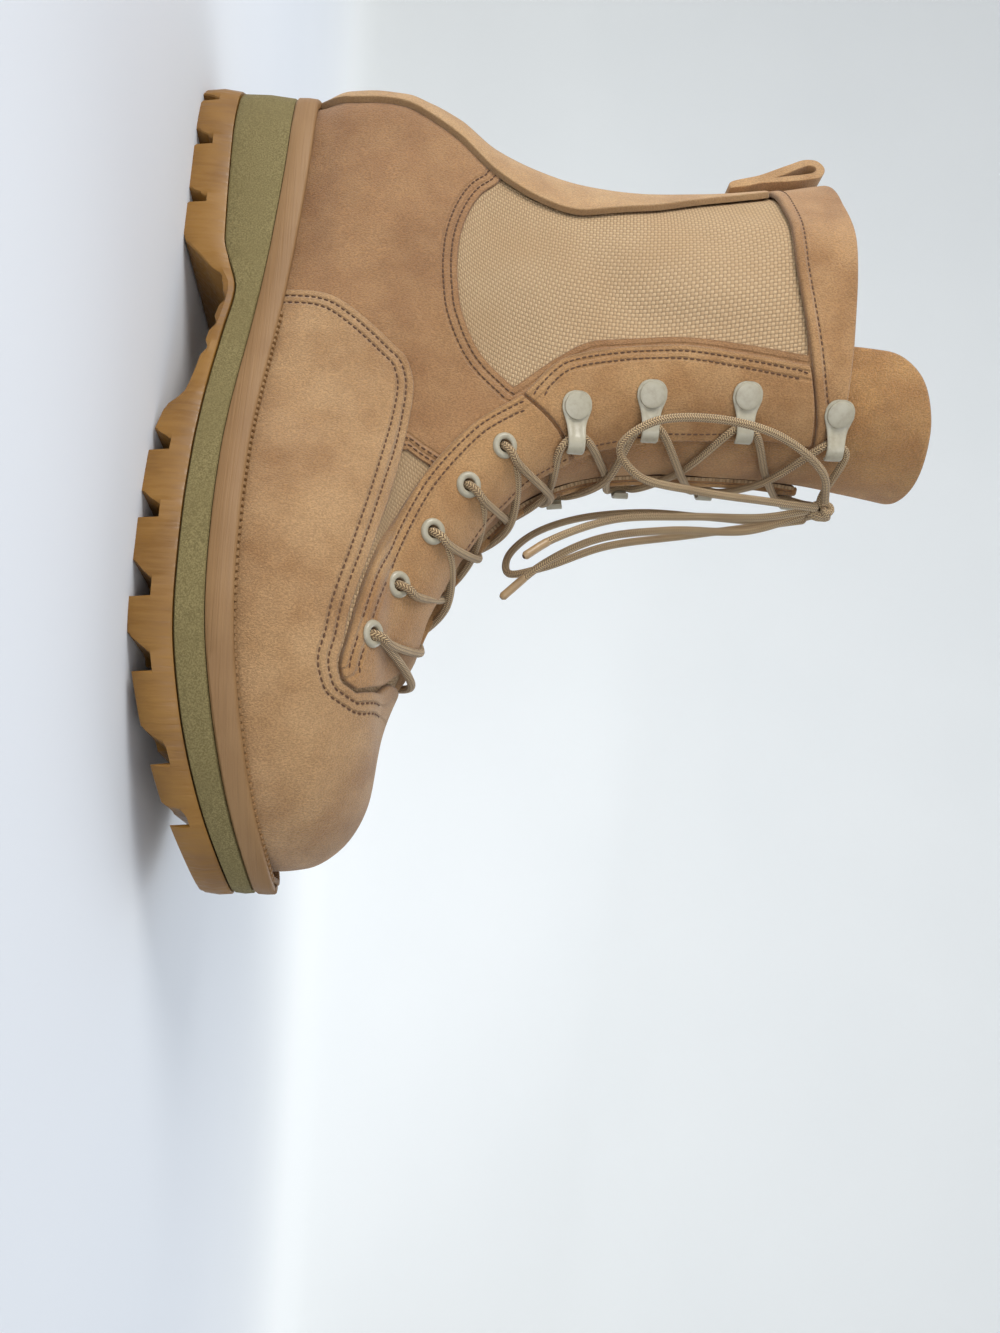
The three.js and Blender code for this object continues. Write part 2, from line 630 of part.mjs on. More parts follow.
function laceCrossings() {
  const stops = { left: laceStops(-1), right: laceStops(1) };
  const step = (a, b) => {
    const ridge = ridgeStop(a, b);
    return [bulge(a, ridge), ridge.point, bulge(ridge, b), b.point];
  };
  const run = (first) => {
    const points = [stops[first][0].point];
    let here = first;
    for (let i = 0; i + 1 < stops.left.length; i += 1) {
      const there = here === 'left' ? 'right' : 'left';
      points.push(...step(stops[here][i], stops[there][i + 1]));
      here = there;
    }
    const side = here === 'left' ? -1 : 1;
    points.push(new THREE.Vector3(KNOT.x - 3.7, side * 4, KNOT.z + 2));
    return points;
  };
  const bar = [stops.left[0].point, ...step(stops.left[0], stops.right[0])];
  return cord(run('left'), 34).add(cord(run('right'), 34)).add(cord(bar, 4));
}

function laceKnot() {
  const geometry = new THREE.SphereGeometry(KNOT.radius, 10, 7);
  geometry.scale(0.8, 1, 1.1);
  geometry.translate(KNOT.x, KNOT.y, KNOT.z);
  return fromGeometry(geometry);
}

const group = new THREE.Group();
group.name = 'combat_boot';
const throat = ridgeStrip(THROAT, 22, 14);
const holes = laceHoles();
const flats = seats();
group.add(toMesh('outsole', outsole(), 'gum'));
group.add(toMesh('midsole', midsole(), 'foam'));
group.add(toMesh('welt', welt(), 'frame'));
group.add(toMesh('insole', insole(), 'cloth'));
group.add(toMesh('upper', upper(throat, holes), 'darkSuede'));
group.add(toMesh('tongue', tongue(), 'darkSuede'));
group.add(toMesh('vamp', overlay('vamp', throat), 'suede'));
group.add(toMesh('eyestay_lower', overlay('eyestayLower', throat).subtract(holes).subtract(flats), 'suede'));
for (const { tag, side } of SIDES) {
  const stay = overlay('eyestayUpper', throat).intersect(half(side)).subtract(flats);
  group.add(toMesh(`eyestay_upper_${tag}`, stay, 'suede'));
}
group.add(toMesh('cuff', overlay('cuff', throat).subtract(flats), 'cuffSuede'));
group.add(toMesh('back_strap', backStrap(), 'suede'));
for (const { tag, side } of SIDES) {
  EYELETS.forEach(({ x, z }, i) => {
    group.add(toMesh(`eyelet_${tag}_${i + 1}`, eyelet(spotOn(x, z, side)), 'paint'));
  });
  HOOKS.forEach(({ x, z }, i) => {
    group.add(toMesh(`hook_${tag}_${i + 1}`, hook(spotOn(x, z, side)), 'paint'));
  });
}
group.add(toMesh('lace_crossings', laceCrossings(), 'cord'));

// The origin is the middle of the boot's box, on the floor, measured without the free lace.
const box = new THREE.Box3().setFromObject(group);
group.add(toMesh('lace_knot', laceKnot(), 'cord'));
for (const [name, route] of Object.entries(FREE_LACE)) {
  const points = route.map((p) => new THREE.Vector3(...p));
  const length = new THREE.CatmullRomCurve3(points, false, 'centripetal').getLength();
  group.add(toMesh(name, cord(points, Math.round(length / LACE_STEP)), 'cord'));
}
for (const mesh of group.children) {
  mesh.geometry.translate(-(box.min.x + box.max.x) / 2, -(box.min.y + box.max.y) / 2, -box.min.z);
}
export default group;
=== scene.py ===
# %% [markdown]
# # A combat boot, dressed for its portrait
# The CAD model already has every piece in place. This lesson gives each piece its finish: rough
# suede, woven nylon, rubber, painted metal and braided lace. All lengths come from the boot's own
# pattern in millimetres and are turned into metres when a mesh is made.

# %% Start from the CAD frame
import math

import bpy
import numpy as np
from mathutils import Matrix, Vector


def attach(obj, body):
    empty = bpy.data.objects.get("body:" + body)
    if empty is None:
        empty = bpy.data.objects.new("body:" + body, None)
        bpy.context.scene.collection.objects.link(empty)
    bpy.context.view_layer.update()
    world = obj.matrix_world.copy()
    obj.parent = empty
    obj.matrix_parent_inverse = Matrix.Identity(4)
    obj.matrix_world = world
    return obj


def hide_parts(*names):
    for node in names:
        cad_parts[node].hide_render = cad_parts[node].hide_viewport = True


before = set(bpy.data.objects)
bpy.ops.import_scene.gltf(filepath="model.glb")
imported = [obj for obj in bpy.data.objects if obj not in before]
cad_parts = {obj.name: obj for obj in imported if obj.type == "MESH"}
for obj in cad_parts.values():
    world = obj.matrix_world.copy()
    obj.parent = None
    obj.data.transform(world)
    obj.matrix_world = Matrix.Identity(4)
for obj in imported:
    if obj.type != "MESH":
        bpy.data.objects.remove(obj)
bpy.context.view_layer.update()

BODY = "root"
HEEL_TO_ORIGIN = np.array([156.0, -1.5, 0.0])


def to_row(points):
    """Pattern points in millimetres, as points of the row frame in metres."""
    return (np.asarray(points, float) - HEEL_TO_ORIGIN) / 1000


def add_object(name, data):
    """An object at the origin, linked to the scene."""
    made = bpy.data.objects.new(name, data)
    bpy.context.scene.collection.objects.link(made)
    return made


# %% [markdown]
# ## The camera
# The photograph looks at the outer side of the boot from close by, and the boot lies along the
# picture's height. The boot here stands on its sole, so the camera is rolled by a right angle to
# keep the same view. The lens follows from the spread of the boot's known sizes in the picture.

# %% Camera
CAMERA_SPOT = Vector((0.1881, -0.3518, 0.0816))
LOOK = Vector((-0.294, 0.95, 0.107)).normalized()
PICTURE_UP = Vector((-0.956, -0.291, -0.04))
LENS = 27.01


def aim(camera, spot, look, up_hint):
    right = look.cross(up_hint).normalized()
    up = right.cross(look)
    turn = Matrix((right, up, -look)).transposed().to_4x4()
    camera.matrix_world = Matrix.Translation(spot) @ turn


camera = add_object("camera", bpy.data.cameras.new("camera"))
camera.data.lens = LENS
camera.data.clip_start = 0.01
aim(camera, CAMERA_SPOT, LOOK, PICTURE_UP)
bpy.context.scene.camera = camera
print("camera at", tuple(round(v, 3) for v in CAMERA_SPOT))

# %% [markdown]
# ## Helpers for materials
# A finish is a small web of nodes. These helpers place a node, set its inputs and wire it, so
# that each finish below reads as a short recipe. Colours are written as the eye sees them and
# turned into the linear values that the shader wants.

# %% Node helpers


def linear(colour):
    """A display colour from 0 to 255, as the linear values of a shader."""
    c = np.array(colour, float) / 255
    c = np.where(c <= 0.04045, c / 12.92, ((c + 0.055) / 1.055) ** 2.4)
    return (*[float(v) for v in c], 1.0)


def put(tree, kind, inputs=(), **settings):
    """A node of a kind, with its settings, and a value or a wire for each input by number or name."""
    node = tree.nodes.new(kind)
    for key, value in settings.items():
        setattr(node, key, value)
    for key, value in dict(inputs).items():
        if isinstance(value, bpy.types.NodeSocket):
            tree.links.new(value, node.inputs[key])
        else:
            node.inputs[key].default_value = value
    return node


def calc(tree, operation, a, b=0.0, c=0.0):
    inputs = {0: a, 1: b} if operation != "MULTIPLY_ADD" else {0: a, 1: b, 2: c}
    return put(tree, "ShaderNodeMath", inputs, operation=operation).outputs[0]


def spread(tree, value, low, high, to_low=0.0, to_high=1.0):
    inputs = {0: value, 1: low, 2: high, 3: to_low, 4: to_high}
    return put(tree, "ShaderNodeMapRange", inputs, interpolation_type="SMOOTHSTEP").outputs[0]


def blend_colours(tree, share, a, b, kind="MIX"):
    node = put(tree, "ShaderNodeMix", {0: share, 6: a, 7: b}, data_type="RGBA", blend_type=kind)
    return node.outputs[2]


def grain(tree, vector, scale, detail=2.0, rough=0.5):
    inputs = {"Vector": vector, "Scale": scale, "Detail": detail, "Roughness": rough}
    return put(tree, "ShaderNodeTexNoise", inputs).outputs[0]


def stretched(tree, vector, sizes):
    node = put(tree, "ShaderNodeMapping", {"Vector": vector})
    node.inputs["Scale"].default_value = sizes
    return node.outputs[0]


def two_tone(tree, share, a, b):
    """Two display colours, mixed by a share."""
    return blend_colours(tree, share, linear(a), linear(b))


def shaded(tree, colour, shade):
    """A colour made darker or lighter by a grey value."""
    grey = put(tree, "ShaderNodeCombineColor", {0: shade, 1: shade, 2: shade}).outputs[0]
    return blend_colours(tree, 1.0, colour, grey, "MULTIPLY")


def raised(tree, height, distance):
    inputs = {"Height": height, "Distance": distance, "Strength": 1.0}
    return put(tree, "ShaderNodeBump", inputs).outputs[0]


def new_group(name, inputs, outputs):
    """A shader group with named inputs (name, kind, value) and outputs (name, kind)."""
    tree = bpy.data.node_groups.new(name, "ShaderNodeTree")
    for label, kind, value in inputs:
        socket = tree.interface.new_socket(label, in_out="INPUT", socket_type=f"NodeSocket{kind}")
        if value is not None:
            socket.default_value = value
    for label, kind in outputs:
        tree.interface.new_socket(label, in_out="OUTPUT", socket_type=f"NodeSocket{kind}")
    return tree, tree.nodes.new("NodeGroupInput").outputs, tree.nodes.new("NodeGroupOutput").inputs


def use_group(tree, group, inputs):
    node = tree.nodes.new("ShaderNodeGroup")
    node.node_tree = group
    for key, value in inputs.items():
        if isinstance(value, bpy.types.NodeSocket):
            tree.links.new(value, node.inputs[key])
        else:
            node.inputs[key].default_value = value
    return node.outputs


def new_material(name, roughness=0.8, **constants):
    """A material with its shader, ready for wires. Constants go on the shader's own sockets."""
    material = bpy.data.materials.new(name)
    material.use_nodes = True
    tree = material.node_tree
    shader = tree.nodes["Principled BSDF"]
    shader.inputs["Roughness"].default_value = roughness
    for key, value in constants.items():
        shader.inputs[key.replace("_", " ")].default_value = value
    return material, tree, shader.inputs


def object_place(tree):
    return put(tree, "ShaderNodeTexCoord").outputs["Object"]


def own_map(tree):
    return put(tree, "ShaderNodeUVMap", uv_map="pattern").outputs[0]


def own_value(tree, name):
    return put(tree, "ShaderNodeAttribute", attribute_name=name).outputs["Fac"]


print("node helpers ready")

# %% [markdown]
# ## Braided lace
# A boot lace is a hollow braid, and its strands show as small arrowheads along the cord. The
# pattern is drawn on the cord's own map, which runs round it and along it in millimetres, so it
# follows every bend.

# %% Lace finish
BRAID_PITCH = 1.9
BRAID_ROWS = 4


def braid_group():
    tree, given, out = new_group(
        "braid", [("Map", "Vector", None), ("Pitch", "Float", BRAID_PITCH)], [("Height", "Float")])
    parts = put(tree, "ShaderNodeSeparateXYZ", {0: given["Map"]}).outputs
    fold = calc(tree, "PINGPONG", calc(tree, "MULTIPLY", parts[0], float(BRAID_ROWS)), 0.5)
    along = calc(tree, "DIVIDE", parts[1], given["Pitch"])
    slant = calc(tree, "ADD", along, fold)
    strand = calc(tree, "PINGPONG", calc(tree, "MULTIPLY", slant, 2.0), 0.5)
    seam = calc(tree, "MULTIPLY", calc(tree, "ABSOLUTE", calc(tree, "SUBTRACT", fold, 0.25)), 4.0)
    edge = spread(tree, seam, 0.55, 1.0, 1.0, 0.35)
    tree.links.new(calc(tree, "MULTIPLY", spread(tree, strand, 0.0, 0.4), edge), out["Height"])
    return tree


BRAID = braid_group()


def lace_finish():
    material, tree, shader = new_material("lace_cord", 0.72, Sheen_Weight=0.15)
    height = use_group(tree, BRAID, {"Map": own_map(tree), "Pitch": BRAID_PITCH})["Height"]
    worn = grain(tree, object_place(tree), 60.0)
    # Painted shade: the colour follows the braid's height, dark in the grooves between the strands and light
    # on their crowns.
    colour = blend_colours(tree, height, linear((96, 66, 37)), linear((224, 192, 142)))
    colour = blend_colours(tree, spread(tree, worn, 0.4, 0.7, 0.0, 0.35), colour, linear((150, 120, 82)))
    tree.links.new(colour, shader["Base Color"])
    tree.links.new(raised(tree, height, 0.0005), shader["Normal"])
    return material


LACE = lace_finish()
print("lace finish:", LACE.name)

# %% [markdown]
# ## Free lace: loops and ends
# The bow's two loops and two ends leave the knot at the collar and hang down the front of the
# shaft. Each is a real cord with its own length. The route's points are the same as the CAD
# model's, and a smooth curve runs through them.

# %% Cord helpers
LACE_RADIUS = 1.55
TUBE_SIDES = 12
TUBE_END = 0.55


def through(points, per_span=24):
    """A smooth curve through points, with spans weighted by the root of their length."""
    p = np.asarray(points, float)
    p = np.vstack([2 * p[0] - p[1], p, 2 * p[-1] - p[-2]])
    made = []
    for i in range(1, len(p) - 2):
        a, b, c, d = p[i - 1:i + 3]
        t0, t1, t2 = [max(np.linalg.norm(q - r) ** 0.5, 1e-4) for q, r in ((b, a), (c, b), (d, c))]
        m1 = ((b - a) / t0 - (c - a) / (t0 + t1) + (c - b) / t1) * t1
        m2 = ((c - b) / t1 - (d - b) / (t1 + t2) + (d - c) / t2) * t1
        u = np.linspace(0, 1, per_span, endpoint=False)[:, None]
        made.append((2 * u**3 - 3 * u**2 + 1) * b + (u**3 - 2 * u**2 + u) * m1
                    + (3 * u**2 - 2 * u**3) * c + (u**3 - u**2) * m2)
    return np.vstack([*made, p[-2:-1]])


def lengths(line):
    return np.concatenate([[0], np.cumsum(np.linalg.norm(np.diff(line, axis=0), axis=1))])


def even(line, step):
    """The same line with its points a step apart."""
    run = lengths(line)
    count = max(2, int(round(run[-1] / step)) + 1)
    at = np.linspace(0, run[-1], count)
    return np.column_stack([np.interp(at, run, line[:, k]) for k in range(line.shape[1])])


def unit_rows(ways):
    return ways / np.linalg.norm(ways, axis=1)[:, None]


def carried_frames(line):
    """Two cross directions at each point, carried along without twist."""
    ahead = unit_rows(np.gradient(line, axis=0))
    start = np.cross(ahead[0], (0.3, 0.2, 0.9))
    first = [start / np.linalg.norm(start)]
    for way in ahead[1:]:
        v = first[-1] - way * np.dot(first[-1], way)
        first.append(v / np.linalg.norm(v))
    first = np.array(first)
    return first, np.cross(ahead, first)


def tube(line, radius):
    """Points, faces and map of a closed round tube along a line, with rounded ends."""
    sides = TUBE_SIDES
    first, second = carried_frames(line)
    run = lengths(line)
    size = np.full(len(line), float(radius))
    size[0] = size[-1] = radius * TUBE_END
    angle = 2 * np.pi * np.arange(sides) / sides
    ring = np.cos(angle)[None, :, None] * first[:, None] + np.sin(angle)[None, :, None] * second[:, None]
    points = (line[:, None] + ring * size[:, None, None]).reshape(-1, 3)
    faces, maps = [], []
    for r in range(len(line) - 1):
        for i in range(sides):
            j = (i + 1) % sides
            faces.append((r * sides + i, r * sides + j, (r + 1) * sides + j, (r + 1) * sides + i))
            u0, u1, v0, v1 = i / sides, (i + 1) / sides, run[r], run[r + 1]
            maps.append([(u0, v0), (u1, v0), (u1, v1), (u0, v1)])
    top = (len(line) - 1) * sides
    faces.append(tuple(range(sides - 1, -1, -1)))
    faces.append(tuple(top + i for i in range(sides)))
    maps += [[(0, 0)] * sides, [(0, run[-1])] * sides]
    return points, faces, maps


def join_parts(parts):
    """Several (points, faces, map) sets as one."""
    points, faces, maps, base = [], [], [], 0
    for p, f, m in parts:
        points.append(p)
        faces += [tuple(base + i for i in face) for face in f]
        maps += m
        base += len(p)
    return np.vstack(points), faces, maps


def finish_piece(piece, stands_for):
    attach(piece, BODY)
    if stands_for:
        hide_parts(*stands_for)


def make_piece(name, points, faces, materials, slot=None, stands_for=(), maps=None, values=None,
               face_material=None, crease=40.0):
    """A finished piece in the row frame from pattern points, riding on the boot."""
    mesh = bpy.data.meshes.new(name)
    mesh.from_pydata(to_row(points).tolist(), [], [tuple(int(i) for i in f) for f in faces])
    piece = add_object(name, mesh)
    for material in materials if isinstance(materials, (list, tuple)) else [materials]:
        mesh.materials.append(material)
    if face_material is not None:
        mesh.polygons.foreach_set("material_index", np.asarray(face_material, np.int32))
    if maps is not None:
        layer = mesh.uv_layers.new(name="pattern")
        layer.data.foreach_set("uv", np.asarray([uv for face in maps for uv in face], np.float32).ravel())
    for key, value in (values or {}).items():
        attribute = mesh.attributes.new(key, "FLOAT", "POINT")
        attribute.data.foreach_set("value", np.asarray(value, np.float32))
    mesh.shade_smooth()
    mesh.set_sharp_from_angle(angle=math.radians(crease))
    finish_piece(piece, stands_for)
    print(f"{name}: {len(mesh.vertices)} points, {len(mesh.loop_triangles) or len(mesh.polygons)} faces")
    return piece


# %% Knot, loops and ends
KNOT = np.array([163.0, 0.0, 252.0])
FREE_LACE = {
    "lace_loop_outer": [
        [162.4, -5.7, 251.8], [158, -22, 244], [151, -35, 222], [148, -39, 195], [151, -38, 172],
        [158, -31, 162], [165, -24, 170], [167, -18, 195], [167, -13, 225], [164.6, -5.2, 248.4]],
    "lace_loop_inner": [
        [162.4, 5.7, 251.8], [158, 23, 243], [151, 36, 218], [149, 39, 188], [155, 37, 158],
        [166, 32, 138], [180, 25, 127], [190, 18, 127], [189, 12, 140], [179, 11, 165],
        [172, 11, 200], [165, 5.2, 247.8]],
    "lace_end_outer": [
        [164.4, -2.3, 246], [170, -5, 225], [172, -6, 195], [175, -6, 165], [185, -7, 141], [194, -9, 129]],
    "lace_end_inner": [
        [164.4, 2.3, 246], [172, 4, 222], [174, 3, 190], [180, 2, 160], [192, 2, 138], [206, 4, 122]],
}
TAG_LENGTH, TAG_WRAP = 14.0, 0.12
CORD_STEP = 1.0


def knot_line():
    """Two and a half wraps round the bow's middle, with one strand laid across them."""
    turn = np.linspace(0, 2.4, 60)
    wrap = np.column_stack([
        2.35 * np.cos(2 * np.pi * turn), -2.4 + 2.0 * turn, 3.8 * np.sin(2 * np.pi * turn)])
    across = np.array([
        [-1.2, 3.2, -1.5], [1.2, 3.3, 1.2], [2.5, 1.0, 2.9], [2.3, -1.6, 1.6], [0.6, -3.4, -0.6]])
    return KNOT + even(through(np.vstack([wrap[::4], across])), CORD_STEP)


def tag_finish():
    material, tree, shader = new_material("lace_tag", 0.35)
    tone = grain(tree, object_place(tree), 400.0)
    tree.links.new(two_tone(tree, tone, (150, 122, 86), (172, 142, 102)), shader["Base Color"])
    return material


TAG = tag_finish()
points, faces, maps = tube(knot_line(), LACE_RADIUS)
knot = make_piece("lace_knot_tied", points, faces, LACE, "lace_cord", ["lace_knot"], maps)
cords = {}
for name, route in FREE_LACE.items():
    line = even(through(route), CORD_STEP)
    points, faces, maps = tube(line, LACE_RADIUS)
    cords[name] = (make_piece(f"{name}_braid", points, faces, LACE, "lace_cord", [name], maps), line)
    if name.startswith("lace_end"):
        tag_line = line[-int(TAG_LENGTH / CORD_STEP):]
        points, faces, maps = tube(tag_line, LACE_RADIUS + TAG_WRAP)
        tag = make_piece(f"{name}_tag", points, faces, TAG, "lace_cord", (), maps)
        cords[name] += (tag,)
for name, (piece, line, *tags) in cords.items():
    route = to_row(line)

# %% [markdown]
# ## The last, repeated from its sections
# The upper is stretched over a last. Its sections are flat loops that start level at the sole and
# lean back towards the collar, like the leaves of a fan. A smooth rule between the rows gives any
# loop in between, and points at even steps round each loop make a fine, regular net.

# %% Tables of the last and the sole
LAST_COLUMNS = ("backX", "backZ", "frontX", "frontZ", "heel", "waistOut", "waistIn",
                "ballOut", "ballIn", "nose", "tip", "tail", "round")
LAST = np.array([
    [4, 22, 306, 22, 34, 37, 28, 49, 44, 0.3, 10, 28, 2.2],
    [3, 43, 308.5, 43, 35, 37, 29, 49, 45, 0.3, 10, 28, 2.2],
    [-2, 56, 307.5, 54, 37.5, 37.5, 31, 47, 45, 0.3, 9, 27, 2.2],
    [-3.5, 68, 300.5, 65.5, 38, 38, 34, 43, 42, 0.33, 8, 27, 2.2],
    [-3.5, 78, 286, 73.5, 38, 38, 35, 38, 38.5, 0.38, 6, 28, 2.2],
    [-2.5, 88, 262, 77.3, 37, 38, 36, 33.5, 34.5, 0.42, 4, 30, 1.9],
    [0.5, 100, 237, 86.5, 36, 37.5, 36, 31.5, 32.5, 0.42, 2, 34, 1.6],
    [9, 116, 210, 99, 34.5, 37.5, 36.5, 31.5, 32, 0.42, 1, 42, 1.35],
    [15.5, 134, 185, 115, 35, 37.5, 37, 33, 33, 0.42, 0, 48, 1.25],
    [20.5, 154, 165, 135, 36, 38.5, 38, 34.5, 34.5, 0.42, 0, 53, 1.25],
    [22.5, 178, 153, 163, 38, 40, 40, 37, 37, 0.44, 0, 57, 1.3],
    [21, 204, 149.5, 195, 40, 43, 43, 40, 40, 0.46, 0, 60, 1.4],
    [17, 232, 149, 226, 42, 45.5, 45.5, 42, 42, 0.48, 0, 64, 1.5],
    [12, 260, 152, 258, 43, 47, 47, 43.5, 43.5, 0.5, 0, 68, 1.8],
    [6, 304, 160, 304, 43, 47, 47, 44, 44, 0.5, 0, 70, 2],
])
TOP_LOOP = len(LAST) - 1
LOOP_POWER, NOSE_ROUND = 2.3, 2.1


def between(xs, ys, x):
    """Smooth values at x from a table of xs and ys, without overshoot."""
    xs, ys, x = np.asarray(xs, float), np.asarray(ys, float), np.asarray(x, float)
    steps = np.diff(ys) / np.diff(xs)
    product = steps[:-1] * steps[1:]
    total = np.where(product > 0, steps[:-1] + steps[1:], 1.0)
    slopes = np.concatenate([[steps[0]], np.where(product > 0, 2 * product / total, 0.0), [steps[-1]]])
    i = np.clip(np.searchsorted(xs, x) - 1, 0, len(xs) - 2)
    span = xs[i + 1] - xs[i]
    u = np.clip((x - xs[i]) / span, 0, 1)
    a, b = ys[i], ys[i + 1]
    bend = u * (1 - u) ** 2 * slopes[i] - u * u * (1 - u) * slopes[i + 1]
    return a + (b - a) * u * u * (3 - 2 * u) + span * bend


def last_at(at):
    """The last's measures at a height index, by name."""
    rows = np.arange(len(LAST))
    return {name: float(between(rows, LAST[:, k], at)) for k, name in enumerate(LAST_COLUMNS)}


def half_loop(at, side, t):
    """Points of one side of a loop at shares t of its length."""
    m = last_at(at)
    back, front = np.array([m["backX"], m["backZ"]]), np.array([m["frontX"], m["frontZ"]])
    waist, ball = (m["waistOut"], m["ballOut"]) if side < 0 else (m["waistIn"], m["ballIn"])
    width = between([0, 0.2, 0.42, 0.7, 1], [m["heel"], m["heel"], waist, ball, ball], t)
    tail = np.minimum(1, t * np.linalg.norm(front - back) / m["tail"])
    nose = np.maximum(0, (t - 1 + m["nose"]) / m["nose"])
    width = width * (1 - (1 - tail) ** LOOP_POWER) ** (1 / m["round"])
    width = width * (1 - nose**LOOP_POWER) ** (1 / NOSE_ROUND)
    middle = m["tip"] * np.maximum(0, (t - 0.6) / 0.4) ** 1.5
    ends = back[None] + (front - back)[None] * t[:, None]
    return np.column_stack([ends[:, 0], middle + side * width, ends[:, 1]])


def even_half(at, side, count):
    t = 0.5 - 0.5 * np.cos(np.pi * np.linspace(0, 1, 301))
    run = lengths(half_loop(at, side, t))
    shares = np.interp(np.linspace(0, run[-1], count + 1), run, t)
    return half_loop(at, side, shares), np.linspace(0, run[-1], count + 1)


def ridge(at):
    m = last_at(at)
    return np.array([m["frontX"], m["tip"], m["frontZ"]])


# %% [markdown]
# ## Creases and dents
# Leather and cloth that has been walked in is never flat. Each row below is one soft hollow or
# swelling, placed on the side view: its middle, its slant, how far it reaches along and
# across, and how deep it goes. They move the last itself, so all the layers over it agree.

# %% Creases
CREASES = [
    # x, z, slant in degrees, reach along, reach across, depth (minus is a hollow), side
    (214, 56, 12, 24, 7, -0.7, -1), (196, 52, 20, 20, 6, 0.5, -1), (236, 50, 8, 18, 7, 0.5, -1),
    (168, 58, 35, 22, 7, -0.5, -1), (262, 62, -20, 14, 8, -0.5, -1), (286, 55, -30, 12, 9, 0.4, -1),
    (70, 198, 80, 26, 9, -1.6, -1), (62, 176, 60, 20, 9, 1.1, -1), (92, 160, 35, 26, 9, -1.2, -1),
    (96, 205, 75, 24, 10, 1.0, -1), (52, 145, 30, 18, 8, -0.9, -1), (100, 130, 15, 22, 8, 0.8, -1),
    (80, 128, -15, 18, 8, -0.8, -1), (60, 215, 85, 16, 7, 0.9, -1), (106, 182, 80, 20, 7, -0.9, -1),
    (40, 80, 0, 26, 12, 0.6, -1), (88, 70, 10, 22, 9, -0.6, -1), (120, 96, 45, 20, 7, -0.6, -1),
    (214, 58, 10, 24, 8, -0.6, 1), (180, 60, 25, 22, 8, 0.5, 1), (70, 190, 75, 26, 10, -1.4, 1),
    (90, 160, 40, 24, 9, 1.0, 1), (96, 205, 80, 22, 10, -0.9, 1), (60, 140, 20, 20, 9, -0.8, 1),
    (100, 130, 20, 22, 8, 0.7, 1), (88, 72, 10, 24, 10, -0.5, 1),
]


def crease_depth(points):
    """How far each point moves out along its normal, in millimetres."""
    moved = np.zeros(len(points))
    for x, z, slant, reach, across, depth, side in CREASES:
        c, s = math.cos(math.radians(slant)), math.sin(math.radians(slant))
        dx, dz = points[:, 0] - x, points[:, 2] - z
        u, v = (dx * c + dz * s) / reach, (dz * c - dx * s) / across
        near = np.clip(points[:, 1] * side / 12, 0, 1)
        moved += depth * np.exp(-u * u - v * v) * near
    return moved


def last_net(spacing, columns):
    """The last's face as triangles, with normals and a map in millimetres."""
    ats = np.linspace(0.0, TOP_LOOP, 1400)
    fronts = np.array([ridge(a) for a in ats])
    backs = np.array([[last_at(a)["backX"], 0, last_at(a)["backZ"]] for a in ats])
    front_step, back_step = (np.linalg.norm(np.diff(line, axis=0), axis=1) for line in (fronts, backs))
    step = np.maximum(front_step, back_step)
    climb = np.concatenate([[0], np.cumsum(step)])
    rows = int(climb[-1] / spacing)
    heights = np.linspace(0, climb[-1], rows + 1)
    places, rounds = [], []
    row_at = np.interp(heights, climb, ats)
    for at in row_at:
        outer, run_out = even_half(at, -1, columns)
        inner, run_in = even_half(at, 1, columns)
        places.append(np.vstack([outer, inner[-2:0:-1]]))
        rounds.append(np.concatenate([-run_out, run_in[-2:0:-1]]))
    places, rounds = np.array(places), np.array(rounds)
    around = np.roll(places, -1, axis=1) - np.roll(places, 1, axis=1)
    up = np.gradient(places, axis=0)
    normal = np.cross(around, up)
    normal /= np.linalg.norm(normal, axis=2)[:, :, None]
    n = places.shape[1]
    r, i = np.meshgrid(np.arange(rows), np.arange(n), indexing="ij")
    a, b = r * n + i, r * n + (i + 1) % n
    halves = [(a, b, b + n), (a, b + n, a + n)]
    tris = np.concatenate([np.stack(half, -1).reshape(-1, 3) for half in halves])
    rises = np.repeat(heights[:, None], n, axis=1)
    data = np.column_stack([places.reshape(-1, 3), normal.reshape(-1, 3), rounds.ravel(), rises.ravel(),
                            np.repeat(row_at, n)])
    data[:, :3] += data[:, 3:6] * crease_depth(data[:, :3])[:, None]
    return data, tris


FINE_NET = last_net(1.5, 150)
WALL_NET = last_net(2.3, 105)
print("fine net:", len(FINE_NET[1]), "faces; wall net:", len(WALL_NET[1]), "faces")

# %% [markdown]
# ## Pattern pieces as fields
# A shoemaker cuts each panel from a paper pattern. Here a pattern is an outline in the side view,
# and its field is the distance to that outline: minus inside, plus outside. The net is cut where
# the field is zero, so an edge is as smooth as its drawing, whatever the net's own spacing.

